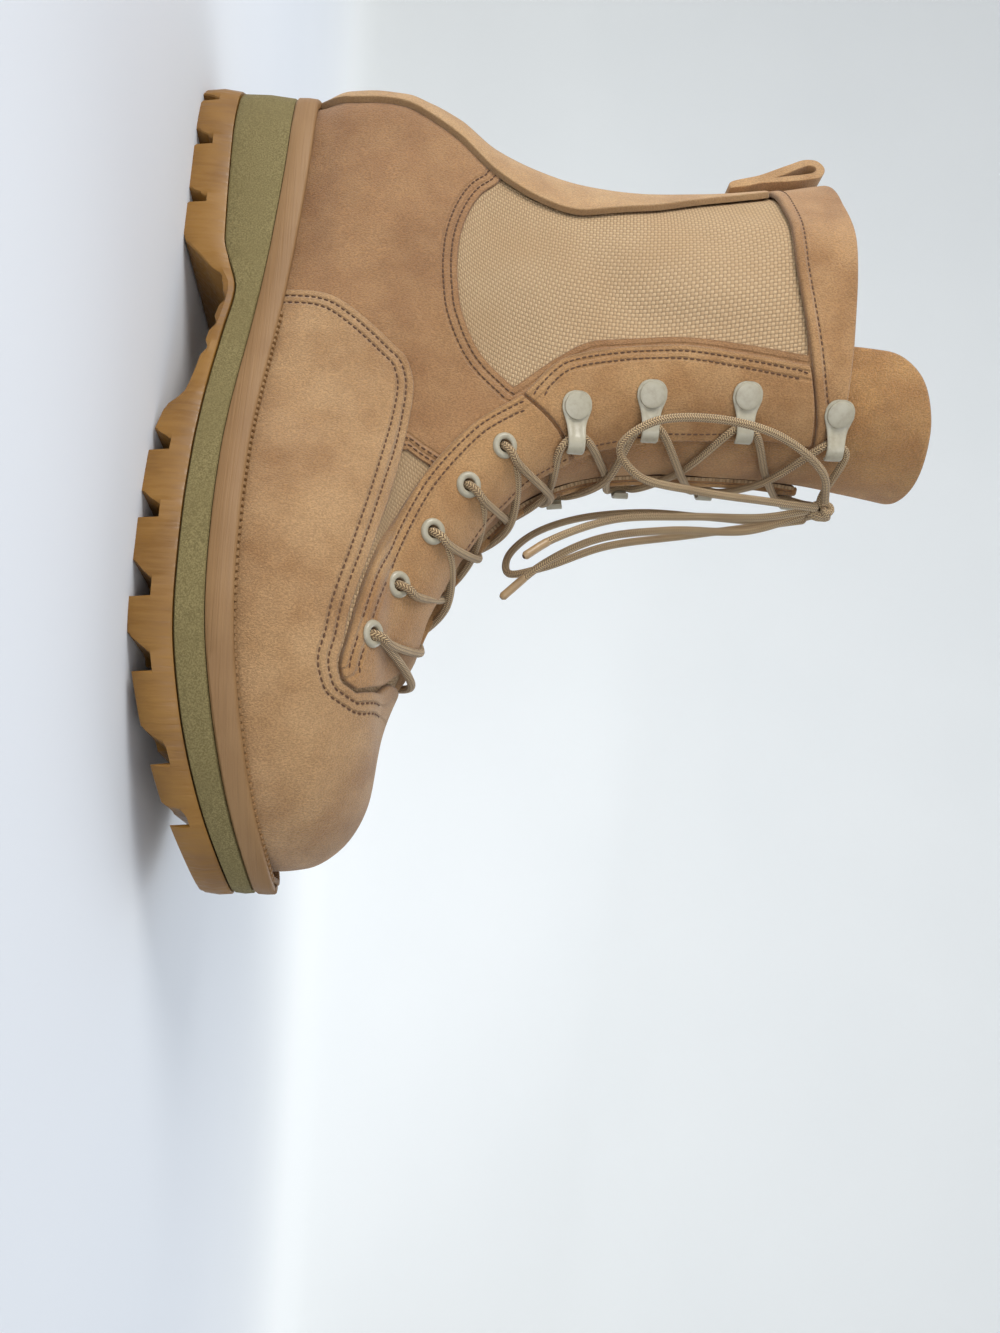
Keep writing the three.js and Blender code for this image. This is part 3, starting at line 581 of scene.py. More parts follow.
# %% Outlines and fields
PATTERNS = {
    "vamp": [
        [107, 20], [105, 46], [107.5, 55], [112.5, 62.5], [120, 71], [127, 78], [131, 82], [136, 84],
        [142, 85], [156, 83.5], [183, 78], [209, 71.8], [229, 66.5], [240, 64.8], [247.5, 63.2],
        [253, 64.6], [255.3, 69.5], [252.2, 75.8], [246, 81], [241, 110], [340, 110], [340, 20]],
    "eyestay_lower": [
        [247, 64.5], [240, 66], [210, 73.5], [175, 89], [152, 107], [139, 125], [150, 141], [170, 157],
        [236, 110], [240, 85], [245, 80], [251, 75], [254, 69.5], [252, 65.5]],
    "eyestay_upper": [
        [138.2, 126], [124, 140], [118, 162], [116, 185], [118, 209], [121, 235.6], [142, 241],
        [180, 246], [180, 168], [149.2, 142.2]],
    "cuff": [
        [-20, 232], [30, 232], [47, 231], [80, 230], [107, 234], [128, 238], [142, 242], [200, 248],
        [200, 300], [-20, 300]],
    "cloth": [
        [-20, 119], [43, 116.5], [52, 109], [61, 104.5], [74, 101], [86, 100], [98, 100.5], [108, 102],
        [123, 109], [136, 122], [124, 137], [116, 150], [114, 162], [112, 185], [114, 209], [117, 235],
        [80, 233.5], [47, 235], [-20, 236]],
    "strap": [
        [-30, 20], [11, 20], [11, 43], [15, 55], [15, 76], [25, 96], [43, 116], [53, 131],
        [57.5, 145.5], [56, 160], [52, 176], [41, 205], [33, 230.5], [-30, 230.5]],
    "tongue": [
        [232, 92], [205, 78], [170, 88], [138, 112], [118, 150], [112, 200], [112, 262], [114, 273],
        [122, 282], [136, 287], [150, 288.5], [176, 290], [176, 150], [232, 104]],
}
SHARP_TURN = 50


def drawn(outline):
    """A closed outline as a fine line: smooth, with a corner wherever it turns sharply."""
    p = np.array(outline, float)
    before, after = p - np.roll(p, 1, 0), np.roll(p, -1, 0) - p
    cross = before[:, 0] * after[:, 1] - before[:, 1] * after[:, 0]
    turn = np.degrees(np.abs(np.arctan2(cross, (before * after).sum(1))))
    corners = np.nonzero(turn > SHARP_TURN)[0]
    if not len(corners):
        return through(np.vstack([p, p[:1]]), 8)[:-1]
    p = np.roll(p, -corners[0], 0)
    corners = np.append(corners - corners[0], len(p))
    p = np.vstack([p, p[:1]])
    return np.vstack([through(p[a:b + 1], 8)[:-1] for a, b in zip(corners[:-1], corners[1:])])


def distance_to(line, points, closed=True):
    """Distance from side-view points to a line, minus inside a closed one."""
    ends = np.roll(line, -1, 0) if closed else line[1:]
    starts = line if closed else line[:-1]
    best = np.full(len(points), 1e9)
    inside = np.zeros(len(points), bool)
    for a, b in zip(starts, ends):
        ab = b - a
        t = np.clip(((points - a) @ ab) / max(ab @ ab, 1e-12), 0, 1)
        best = np.minimum(best, ((points - a - t[:, None] * ab) ** 2).sum(1))
        crossing = (a[1] > points[:, 1]) != (b[1] > points[:, 1])
        if b[1] != a[1]:
            inside ^= crossing & (points[:, 0] < a[0] + (points[:, 1] - a[1]) * ab[0] / (b[1] - a[1]))
    return np.sqrt(best) * np.where(inside, -1, 1)


def pattern_field(name):
    line = drawn(PATTERNS[name])
    return lambda data: distance_to(line, data[:, [0, 2]])


THROAT = np.array([[6.25, 2], [6.5, 9], [7.5, 11], [9, 13], [10.5, 17], [12, 19], [14, 18]])
EYELETS = np.array([[235, 73.5], [214, 81.8], [193, 93.4], [174, 106], [158, 119]])
HOOKS = np.array([[140, 146], [133.5, 175], [132, 212], [136, 249]])
COLLAR = np.array([[-60, 262], [10, 259], [45, 256], [90, 254], [125, 252], [220, 250]])
HOLE_RADIUS, RING_RADIUS = 2.4, 4.8
WALL, GAP, OVERLAY, STRAP_THICK, TONGUE_THICK = 2.4, 0.3, 1.3, 2.2, 3.2
THROAT_WAVE, THROAT_WAVE_REACH = 0.9, 9
OUTSIDE = -50.0
FRONT_HALF = 90


def throat_field(data):
    """Plus inside the open slot along the front ridge."""
    at = data[:, 8]
    half = between(THROAT[:, 0], THROAT[:, 1], at)
    stops = np.concatenate([EYELETS, HOOKS])
    near = np.min([np.hypot(data[:, 0] - x - 5, data[:, 2] - z - 5) for x, z in stops], axis=0)
    half = half + THROAT_WAVE * (np.exp(-((near / THROAT_WAVE_REACH) ** 2)) - 0.5)
    middle = between(np.arange(len(LAST)), LAST[:, LAST_COLUMNS.index("tip")], at)
    below_slot = -(THROAT[0, 0] - at) * 25 - 2
    open_slot = np.where(at < THROAT[0, 0], below_slot, half - np.abs(data[:, 1] - middle))
    return np.where(data[:, 0] > FRONT_HALF, open_slot, OUTSIDE)


def collar_field(data, below=0.0):
    return data[:, 2] - np.interp(data[:, 0], COLLAR[:, 0], COLLAR[:, 1]) + below


def holes_field(data):
    """Plus inside a lace hole."""
    found = np.full(len(data), OUTSIDE)
    for side in (-1, 1):
        for x, z in EYELETS:
            off = HOLE_RADIUS - np.hypot(data[:, 0] - x, data[:, 2] - z)
            found = np.maximum(found, np.where(data[:, 1] * side > 0, off, OUTSIDE))
    return found


SOLE_PLAN = np.array([
    [0, 8, 7], [2, 19, 17], [8, 29.5, 27.5], [20, 38.5, 35.5], [40, 42, 39], [90, 42, 37], [120, 43, 34],
    [150, 47, 36], [180, 52.5, 42.5], [205, 55.5, 48.5], [230, 55, 52], [255, 49, 52.5], [280, 37, 48.5],
    [298, 23, 41], [310, 9, 32], [316, -1, 23], [318, -7, 16]])
SOLE_LEVELS = np.array([
    [0, 2.5, 14.5, 35.5, 44.5], [12, 0, 14, 35.2, 44.2], [40, 0, 13.5, 34.4, 43.4], [88, 0, 14.5, 31, 40],
    [98, 8, 17, 30, 39], [110, 16, 20, 28.8, 37.8], [128, 13, 17.5, 26.7, 35.7], [156, 8, 14.5, 23.8, 32.8],
    [164, 2.5, 14, 23.2, 32.2], [182, 0, 13.3, 22.4, 31.4], [215, 0, 13, 22.2, 31.2],
    [240, 0, 13.4, 23, 32], [265, 3.5, 16, 25.7, 34.4], [290, 9.5, 21, 30, 38.3], [318, 19, 29.5, 37, 44.6]])
GROUND, GUM, FOAM, RUBBER = 1, 2, 3, 4
SOLE_LENGTH = 318


def level(column, x):
    return between(SOLE_LEVELS[:, 0], SOLE_LEVELS[:, column], x)


WELT_SINK = 2.4


def welt_field(data):
    """Plus below the line where the upper goes down behind the frame's rim."""
    return level(RUBBER, data[:, 0]) - WELT_SINK - data[:, 2]


def highest(*fields):
    return lambda data: np.max([f(data) for f in fields], axis=0)


# %% Cutting the net and giving it thickness


def cut(data, tris, values, at_level):
    """The net with its triangles split where the values pass a level."""
    above = values > at_level
    mixed = above[tris].any(1) & ~above[tris].all(1)
    rows = np.column_stack([data, values])
    kept, made, extra, found = tris[~mixed], [], [], {}

    def middle(a, b):
        key = (a, b) if a < b else (b, a)
        if key not in found:
            share = (at_level - values[key[0]]) / (values[key[1]] - values[key[0]])
            extra.append(rows[key[0]] + (rows[key[1]] - rows[key[0]]) * share)
            extra[-1][-1] = at_level
            found[key] = len(rows) + len(extra) - 1
        return found[key]

    for tri in tris[mixed]:
        a, b, c = (int(i) for i in tri)
        if above[b] != above[a] and above[b] != above[c]:
            a, b, c = b, c, a
        elif above[c] != above[a] and above[c] != above[b]:
            a, b, c = c, a, b
        ab, ac = middle(a, b), middle(a, c)
        made += [(a, ab, ac), (ab, b, c), (ab, c, ac)]
    rows = np.vstack([rows, extra]) if extra else rows
    tris = np.vstack([kept, made]) if made else kept
    return rows[:, :-1], tris, rows[:, -1]


def trimmed(data, tris, keep):
    """The chosen triangles with only the points that they use."""
    tris = tris[keep]
    used = np.unique(tris)
    new = np.full(len(data), -1)
    new[used] = np.arange(len(used))
    return data[used], new[tris], used


def panel_net(net, field, levels=(0.0,)):
    """The part of a net where the field is below zero, cut along each level, with the field's values."""
    data, tris = net
    values = field(data)
    near = values[tris].min(1) < 0.5
    data, tris, used = trimmed(data, tris, near)
    values = values[used]
    for one in levels:
        data, tris, values = cut(data, tris, values, one)
    keep = values[tris].max(1) <= 1e-6
    data, tris, used = trimmed(data, tris, keep)
    return data, tris, values[used]


def rim(tris):
    """Edges that only one triangle has, in that triangle's direction."""
    edges = np.vstack([tris[:, [0, 1]], tris[:, [1, 2]], tris[:, [2, 0]]])
    key = np.sort(edges, axis=1)
    _, index, count = np.unique(key, axis=0, return_index=True, return_counts=True)
    return edges[index[count == 1]]


def thick_piece(name, data, tris, high, low, depth, materials, slot, stands_for, lining=False):
    """A closed piece between two heights over the last."""
    high, low = np.broadcast_to(high, len(data)), np.broadcast_to(low, len(data))
    top = data[:, :3] + data[:, 3:6] * high[:, None]
    bottom = data[:, :3] + data[:, 3:6] * low[:, None]
    n = len(data)
    walls = [(b, a, a + n, b + n) for a, b in rim(tris)]
    faces = [tuple(t) for t in tris] + [tuple(t[::-1] + n) for t in tris] + walls
    uv = np.vstack([data[:, 6:8], data[:, 6:8]])
    corner = uv[np.concatenate([tris.ravel(), (tris[:, ::-1] + n).ravel(), np.array(walls).ravel()])]
    face_material = [0] * len(tris) + [1 if lining else 0] * len(tris) + [0] * len(walls)
    return make_piece(name, np.vstack([top, bottom]), faces, materials, slot, stands_for,
                      [corner], {"edge": np.concatenate([depth, depth])},
                      face_material if lining else None)


def rounded(depth, top, radius):
    """Height of a face whose edge is rounded off over a radius."""
    short = np.clip(radius - depth, 0, radius)
    return top - (radius - np.sqrt(np.maximum(radius**2 - short**2, 0)))


def edge_levels(radius):
    return (0.0, -0.15 * radius, -0.5 * radius, -radius)


print("pattern tools ready")

# %% [markdown]
# ## Suede
# Roughout leather shows its fibres: a short nap that is lighter where it is brushed one way and
# darker where it is pressed or rubbed. Three sizes of soft noise give the patches, the brushed
# clouds and the nap itself. Each panel carries the distance to its own edge as a value called
# edge, and with it the finish draws the raw edge and the pressed lines under the stitches.

# %% Suede finish


def nap_group():
    tree, given, out = new_group(
        "nap", [("Place", "Vector", None), ("Edge", "Float", 0.0), ("Row", "Float", 3.0),
                ("Second row", "Float", 6.0)],
        [(label, "Float") for label in ("Patch", "Cloud", "Fibre", "Height", "Raw")])
    place = given["Place"]
    patch = spread(tree, grain(tree, place, 24.0, 3.0, 0.6), 0.38, 0.66)
    cloud = spread(tree, grain(tree, place, 75.0, 2.0, 0.5), 0.3, 0.72)
    fibre = spread(tree, grain(tree, stretched(tree, place, (1.0, 1.0, 0.6)), 2100.0, 2.0, 0.7), 0.3, 0.7)
    coarse = grain(tree, place, 800.0, 2.0, 0.6)
    height = calc(tree, "ADD", calc(tree, "MULTIPLY", fibre, 0.45), calc(tree, "MULTIPLY", coarse, 0.55))
    depth = calc(tree, "MULTIPLY", given["Edge"], -1.0)
    pressed = 0.0
    for row in ("Row", "Second row"):
        away = calc(tree, "ABSOLUTE", calc(tree, "SUBTRACT", depth, given[row]))
        line = spread(tree, away, 0.1, 0.95, 1.0, 0.0)
        pressed = line if row == "Row" else calc(tree, "MAXIMUM", pressed, line)
    height = calc(tree, "SUBTRACT", height, calc(tree, "MULTIPLY", pressed, 1.3))
    raw = spread(tree, calc(tree, "ADD", depth, calc(tree, "MULTIPLY", coarse, 0.5)), 0.25, 1.0, 1.0, 0.0)
    made = {"Patch": patch, "Cloud": cloud, "Fibre": fibre, "Height": height, "Raw": raw}
    for label, value in made.items():
        tree.links.new(value, out[label])
    return tree


NAP = nap_group()
FAR_ROW = 500.0


def suede_finish(name, base, dark, light, rows=(3.0, 6.0), rough=1.0):
    material, tree, shader = new_material(name, 0.95, Sheen_Weight=0.22, Sheen_Roughness=0.5,
                                          Specular_IOR_Level=0.2)
    rows = (*rows, FAR_ROW, FAR_ROW)[:2]
    made = use_group(tree, NAP, {"Place": object_place(tree), "Edge": own_value(tree, "edge"),
                                 "Row": rows[0], "Second row": rows[1]})
    colour = two_tone(tree, calc(tree, "MULTIPLY", made["Patch"], 0.6), base, dark)
    colour = blend_colours(tree, calc(tree, "MULTIPLY", made["Cloud"], 0.4), colour, linear(light))
    shade = spread(tree, made["Fibre"], 0.0, 1.0, 0.8, 1.14)
    colour = shaded(tree, colour, shade)
    raw_edge = linear([c * 0.72 for c in base])
    colour = blend_colours(tree, calc(tree, "MULTIPLY", made["Raw"], 0.55), colour, raw_edge)
    tree.links.new(colour, shader["Base Color"])
    tree.links.new(spread(tree, made["Fibre"], 0.0, 1.0, 0.86, 1.0), shader["Roughness"])
    tree.links.new(raised(tree, made["Height"], 0.0004 * rough), shader["Normal"])
    return material


VAMP_SUEDE = suede_finish("vamp_suede", (170, 133, 92), (138, 98, 60), (190, 154, 112))
QUARTER_SUEDE = suede_finish("quarter_suede", (154, 114, 76), (126, 88, 54), (172, 134, 92))
STAY_SUEDE = suede_finish("stay_suede", (172, 131, 86), (140, 98, 60), (190, 153, 108), rows=(2.2, 4.9))
CUFF_SUEDE = suede_finish("cuff_suede", (168, 127, 84), (138, 98, 60), (186, 148, 104), rows=(4.0,))
STRAP_SUEDE = suede_finish("strap_suede", (182, 144, 100), (148, 108, 68), (200, 166, 122), rows=())
TONGUE_SUEDE = suede_finish("tongue_suede", (184, 134, 80), (150, 104, 62), (204, 160, 104), rows=(),
                            rough=2.2)
print("suedes:", VAMP_SUEDE.name, QUARTER_SUEDE.name, STAY_SUEDE.name, CUFF_SUEDE.name)

# %% [markdown]
# ## Woven nylon and lining
# The shaft is a coarse plain weave: each thick yarn rises over one neighbour and dives under the
# next. A map in millimetres runs round and up the shaft. The map is cut into yarn-sized squares,
# and in each square either the upright or the level yarn is on top.

# %% Weave finish
YARN = 1.6


def weave_group():
    tree, given, out = new_group("weave", [("Map", "Vector", None), ("Yarn", "Float", YARN)],
                                 [("Height", "Float"), ("Level yarn", "Float")])
    parts = put(tree, "ShaderNodeSeparateXYZ", {0: given["Map"]}).outputs
    cells, bows = [], []
    for part in (parts[0], parts[1]):
        place = calc(tree, "DIVIDE", part, given["Yarn"])
        cells.append(calc(tree, "FLOOR", place))
        bows.append(calc(tree, "SINE", calc(tree, "MULTIPLY", calc(tree, "FRACT", place), math.pi)))
    parity = calc(tree, "PINGPONG", calc(tree, "ADD", *cells), 1.0)
    tops = []
    for across, lengthwise in ((bows[0], bows[1]), (bows[1], bows[0])):
        arch = calc(tree, "MULTIPLY_ADD", lengthwise, 0.55, 0.45)
        tops.append(calc(tree, "MULTIPLY", calc(tree, "POWER", across, 0.6), arch))
    mixed = put(tree, "ShaderNodeMix", {0: parity, 2: tops[0], 3: tops[1]}).outputs[0]
    tree.links.new(mixed, out["Height"])
    tree.links.new(parity, out["Level yarn"])
    return tree


WEAVE = weave_group()


def cloth_finish():
    material, tree, shader = new_material("woven_nylon", 0.82, Specular_IOR_Level=0.3)
    place = object_place(tree)
    sway = calc(tree, "MULTIPLY", calc(tree, "SUBTRACT", grain(tree, place, 30.0), 0.5), 1.2)
    drift = put(tree, "ShaderNodeVectorMath", {0: own_map(tree), 1: put(
        tree, "ShaderNodeCombineXYZ", {0: sway, 1: sway}).outputs[0]}, operation="ADD").outputs[0]
    made = use_group(tree, WEAVE, {"Map": drift, "Yarn": YARN})
    wear = spread(tree, grain(tree, place, 36.0, 3.0), 0.35, 0.7)
    thread = grain(tree, place, 2600.0)
    colour = two_tone(tree, made["Level yarn"], (188, 160, 124), (174, 145, 109))
    colour = blend_colours(tree, calc(tree, "MULTIPLY", wear, 0.4), colour, linear((172, 140, 102)))
    # Painted shade: the colour darkens where the yarns dip into the gaps between them; the thread noise then
    # adds its own random tone.
    painted_gap_shade = spread(tree, made["Height"], 0.0, 0.7, 0.6, 1.06)
    shade = calc(tree, "MULTIPLY", painted_gap_shade, spread(tree, thread, 0.2, 0.8, 0.93, 1.06))
    colour = shaded(tree, colour, shade)
    tree.links.new(colour, shader["Base Color"])
    tree.links.new(raised(tree, made["Height"], 0.00042), shader["Normal"])
    return material


def lining_finish():
    material, tree, shader = new_material("lining", 0.9)
    place = object_place(tree)
    rib = calc(tree, "SINE", calc(tree, "MULTIPLY", put(
        tree, "ShaderNodeSeparateXYZ", {0: own_map(tree)}).outputs[0], 5.2))
    fuzz = grain(tree, place, 900.0, 3.0, 0.7)
    colour = two_tone(tree, fuzz, (120, 92, 64), (160, 130, 98))
    tree.links.new(colour, shader["Base Color"])
    tree.links.new(raised(tree, calc(tree, "ADD", rib, fuzz), 0.00015), shader["Normal"])
    return material


CLOTH = cloth_finish()
LINING = lining_finish()
print("cloths:", CLOTH.name, LINING.name)

# %% [markdown]
# ## The upper and its lining
# The boot's wall has two layers. The inner one runs everywhere, and where the suede stops it
# shows as cloth: on the shaft, and in a sliver above the vamp. The outer one is the quarter, in
# suede, which ends in a raw step round the cloth.

# %% Inner layer and quarter
SUEDE_STEP = 1.0
QUARTER_FRONT = np.array([[60, 176], [84, 165], [100, 173.5], [130, 180]])
QUARTER_TOP = 125
openings = highest(throat_field, lambda d: collar_field(d, 1.5), welt_field, holes_field)


def quarter_front_field(data):
    """Plus in front of the quarter's own front edge, where the sliver of cloth shows."""
    front = data[:, 0] - np.interp(data[:, 2], QUARTER_FRONT[:, 0], QUARTER_FRONT[:, 1])
    return np.where(data[:, 2] < QUARTER_TOP, front, OUTSIDE)


cloth_window = pattern_field("cloth")
quarter_edge = highest(lambda d: -cloth_window(d), quarter_front_field)
data, tris, depth = panel_net(WALL_NET, openings)
thick_piece("lining_and_cloth", data, tris, -SUEDE_STEP, -WALL, depth, [CLOTH, LINING], "lining", ["upper"],
            lining=True)
data, tris, depth = panel_net(WALL_NET, highest(openings, quarter_edge), (0.0, -0.3))
thick_piece("upper_quarter", data, tris, rounded(-depth, 0.0, 0.3), -SUEDE_STEP + 0.02,
            quarter_edge(data), QUARTER_SUEDE, "quarter_suede", ["upper"])

# %% [markdown]
# ## The laid-over panels
# Vamp, facings and cuff are sewn on over the quarter. Each stands about a millimetre proud with
# a softly cut edge. In front of the quarter they lie straight on the inner layer, so their lower
# face drops to it.

# %% Vamp, facings and cuff
TOP_FACE = GAP + OVERLAY
EDGE_ROUND = 0.7
LAID = 0.03
LOWER_OUTSIDE = np.array(PATTERNS["eyestay_lower"][:6], float)
UPPER_OUTSIDE = np.array(PATTERNS["eyestay_upper"][:6], float)


def laid_over(name, pattern, material, fields, node, pick=None, sewn=None):
    """One panel. Where only one side is sewn, the finish gets the distance to that side."""
    own = pattern_field(pattern)
    data, tris, depth = panel_net(FINE_NET, highest(own, *fields), edge_levels(EDGE_ROUND))
    if pick is not None:
        data, tris, used = trimmed(data, tris, pick(data[tris].mean(1)))
        depth = depth[used]
    high = rounded(-depth, TOP_FACE, EDGE_ROUND)
    low = np.where(quarter_front_field(data) > 1.0, -SUEDE_STEP + LAID, LAID)
    edge = own(data) if sewn is None else -distance_to(sewn, data[:, [0, 2]], closed=False)
    return thick_piece(name, data, tris, high, low, edge, material, "vamp_suede", [node])


laid_over("vamp_panel", "vamp", VAMP_SUEDE, [throat_field, welt_field], "vamp")
laid_over("facing_lower", "eyestay_lower", STAY_SUEDE, [throat_field, holes_field], "eyestay_lower",
          sewn=LOWER_OUTSIDE)
for tag, side in (("outer", -1), ("inner", 1)):
    laid_over(f"facing_upper_{tag}", "eyestay_upper", STAY_SUEDE, [throat_field], f"eyestay_upper_{tag}",
              pick=lambda middle, s=side: middle[:, 1] * s > 0, sewn=UPPER_OUTSIDE)

# %% [markdown]
# ## Cuff
# The cuff is a band of suede folded over the top of the shaft, so at the collar it wraps the
# whole wall. Its lower edge is turned and stitched, which makes a slightly raised strip.

# %% Cuff
STRIP_WIDTH, STRIP_RISE, STRIP_SLOPE = 5.0, 0.45, 0.8
CUFF_ROUND = 1.3


def cuff_panel():
    own, radius = pattern_field("cuff"), CUFF_ROUND
    data, tris, depth = panel_net(FINE_NET, highest(own, throat_field, collar_field), edge_levels(radius))
    edge = own(data)
    strip = np.clip((STRIP_WIDTH + edge) / STRIP_SLOPE, 0, 1) * STRIP_RISE
    high = rounded(-depth, TOP_FACE, radius) + strip * np.clip(-depth / STRIP_SLOPE, 0, 1)
    near_collar = collar_field(data) > -1.4
    low = np.where(near_collar, -WALL - 0.2 + np.clip(radius + collar_field(data), 0, radius), LAID)
    return thick_piece("cuff_band", data, tris, high, low, edge, CUFF_SUEDE, "cuff_suede", ["cuff"])


cuff_panel()

# %% [markdown]
# ## Tongue
# The tongue is one thick piece of suede under the laces, and its rounded top stands above the
# collar. Its net is the same fan of loops, set in by the thickness of the wall.

# %% Tongue
TONGUE_ROUND = 1.2
TONGUE_FACE = -(WALL + GAP)
data, tris, depth = panel_net(WALL_NET, pattern_field("tongue"), edge_levels(TONGUE_ROUND))
puff = 0.5 * np.sin(data[:, 7] / 9.0) * np.clip(-depth / 8, 0, 1)
thick_piece("tongue_pad", data, tris, rounded(-depth, TONGUE_FACE, TONGUE_ROUND) + np.minimum(puff, 0.0),
            TONGUE_FACE - TONGUE_THICK + np.clip(TONGUE_ROUND + depth, 0, TONGUE_ROUND),
            depth, TONGUE_SUEDE, "tongue_suede", ["tongue"])

# %% [markdown]
# ## Back strap and pull loop
# A single strip of thick suede runs up the back seam. At the top it is folded over and sewn down
# again, which leaves a loop to pull the boot on by. Its cut edges are raw.

# %% Back strap
STRAP_ROUND = 0.5
LOOP_HALF, LOOP_ROUND = 13.5, 0.4
FAR_FROM_EDGE = -5.0
LOOP_OUTER = [[17.4, 219], [15.2, 219], [9.5, 233], [2.5, 246.5], [-1.2, 254.5], [-1, 259.8], [2.6, 262.6],
              [6.8, 260.6], [9, 254.5], [10.9, 246], [13.2, 233.5], [15.6, 226]]
LOOP_INNER = [[11, 237], [7.4, 244], [4, 250], [1.4, 255.2], [1.5, 258], [3, 259.4], [5, 258.2],
              [6.9, 253.2], [8.9, 244.5]]
strap_edge = pattern_field("strap")
data, tris, depth = panel_net(FINE_NET, highest(strap_edge, welt_field), edge_levels(STRAP_ROUND))
thick_piece("back_strap_strip", data, tris, rounded(-depth, GAP + STRAP_THICK, STRAP_ROUND), 0.05, depth,
            STRAP_SUEDE, "vamp_suede", ["back_strap"])


def side_plate(outline, hole, half_width):
    """A side-view shape with a hole, pulled out across the boot, with softened edges."""
    curve = bpy.data.curves.new("plate", "CURVE")
    curve.dimensions = "2D"
    curve.fill_mode = "BOTH"
    curve.extrude, curve.bevel_depth, curve.bevel_resolution = half_width - LOOP_ROUND, LOOP_ROUND, 2
    for line in (outline, hole):
        smooth = even(through(np.vstack([line, line[:1]]), 10), 0.8)[:-1]
        spline = curve.splines.new("POLY")
        spline.points.add(len(smooth) - 1)
        spline.use_cyclic_u = True
        rest = np.tile([0.0, 1.0], (len(smooth), 1))
        spline.points.foreach_set("co", np.column_stack([smooth, rest]).ravel())
    carrier = add_object("plate", curve)
    mesh = bpy.data.meshes.new_from_object(carrier.evaluated_get(bpy.context.evaluated_depsgraph_get()))
    points = np.array([v.co for v in mesh.vertices])
    faces = [tuple(p.vertices)[::-1] for p in mesh.polygons]
    bpy.data.objects.remove(carrier)
    return points[:, [0, 2, 1]], faces


loop_points, loop_faces = side_plate(np.array(LOOP_OUTER), np.array(LOOP_INNER), LOOP_HALF)
make_piece("pull_loop", loop_points, loop_faces, STRAP_SUEDE, "vamp_suede", ["back_strap"],
           values={"edge": np.full(len(loop_points), FAR_FROM_EDGE)})

# %% [markdown]
# ## Rubber finishes
# The tread is amber gum rubber, ground to shape on its side, so it has faint upright streaks.
# The middle layer is an olive foam full of tiny cells. The frame under the upper is firm tan
# rubber with fine lines from the sanding belt.

# %% Rubber finishes


def gum_finish():
    material, tree, shader = new_material("gum_rubber", 0.42, Specular_IOR_Level=0.5)
    place = object_place(tree)
    streak = grain(tree, stretched(tree, place, (700.0, 700.0, 40.0)), 1.0, 2.0)
    cloud = grain(tree, place, 40.0, 3.0)
    colour = two_tone(tree, spread(tree, cloud, 0.35, 0.7), (136, 95, 33), (116, 78, 24))
    colour = blend_colours(tree, spread(tree, streak, 0.35, 0.7, 0.0, 0.22), colour, linear((156, 116, 54)))
    tree.links.new(colour, shader["Base Color"])
    tree.links.new(spread(tree, streak, 0.3, 0.7, 0.36, 0.6), shader["Roughness"])
    tree.links.new(raised(tree, streak, 0.0002), shader["Normal"])
    return material


def foam_finish():
    material, tree, shader = new_material("olive_foam", 0.85)
    place = object_place(tree)
    cells = grain(tree, place, 1900.0, 2.0, 0.6)
    cloud = grain(tree, place, 50.0, 2.0)
    colour = two_tone(tree, spread(tree, cells, 0.35, 0.68), (100, 88, 49), (134, 120, 77))
    colour = blend_colours(tree, spread(tree, cloud, 0.35, 0.7, 0.0, 0.4), colour, linear((110, 97, 56)))
    tree.links.new(colour, shader["Base Color"])
    tree.links.new(raised(tree, cells, 0.0002), shader["Normal"])
    return material


def frame_finish():
    material, tree, shader = new_material("tan_rubber", 0.6)
    place = object_place(tree)
    lines = grain(tree, stretched(tree, place, (25.0, 25.0, 1500.0)), 1.0, 3.0, 0.6)
    cloud = grain(tree, place, 30.0, 2.0)
    colour = two_tone(tree, spread(tree, cloud, 0.35, 0.7), (144, 109, 68), (134, 99, 59))
    colour = blend_colours(tree, spread(tree, lines, 0.35, 0.7, 0.0, 0.3), colour, linear((116, 84, 48)))
    tree.links.new(colour, shader["Base Color"])
    tree.links.new(raised(tree, lines, 0.00022), shader["Normal"])
    return material


GUM_RUBBER, OLIVE_FOAM, TAN_RUBBER = gum_finish(), foam_finish(), frame_finish()
print("rubbers:", GUM_RUBBER.name, OLIVE_FOAM.name, TAN_RUBBER.name)

# %% [markdown]
# ## The three layers of the sole
# Each layer is a loft: at every station along the boot a ring runs along its underside, up the
# inner side, back over the top and down the outer side. Extra stations at the notches keep the
# lug walls crisp. The same rings give the layers their bulging sides and the frame its ledge.

# %% Sole tables
NOTCHES = np.array([
    [18, 23.5, 15], [39, 47, 21], [66.5, 73.5, 21], [173, 182, 22], [198, 207.5, 24], [222, 234, 24],
    [245, 256.5, 24], [272, 283, 22], [293.5, 300, 18]])
SCALLOPS = np.array([[101, 107, 9], [111, 118, 9], [122, 129, 9], [133, 140, 9]])
TREAD_LINES = np.array([[9, 70, -14], [9, 70, 12], [177, 251, -20], [177, 251, 18]])
GROOVE, SHALLOW, SCALLOP, CHANNEL_HALF = 6.5, 4.5, 1.5, 2.0
NOTCH_TAPER, SCALLOP_TAPER = (0.5, 0.06), (0.4, 0.4)
SLIMMEST, END_DRAW = 1.5, 2.5


def taper(x):
    """Minus one at the heel's back, plus one at the toe: the rings' ends draw in by it."""
    return (x - SOLE_LENGTH / 2) / (SOLE_LENGTH / 2)


def limited(value):
    return min(1.0, max(0.0, value))


def plan(x):
    lateral, medial = (between(SOLE_PLAN[:, 0], SOLE_PLAN[:, k], x) for k in (1, 2))
    return (medial - lateral) / 2, (medial + lateral) / 2


def stations(extra=()):
    regular = np.concatenate([np.linspace(0, 24, 17), np.arange(27, 296, 3.0), np.linspace(297, 318, 15)])
    return np.unique(np.round(np.concatenate([regular, np.ravel(extra)]), 3))


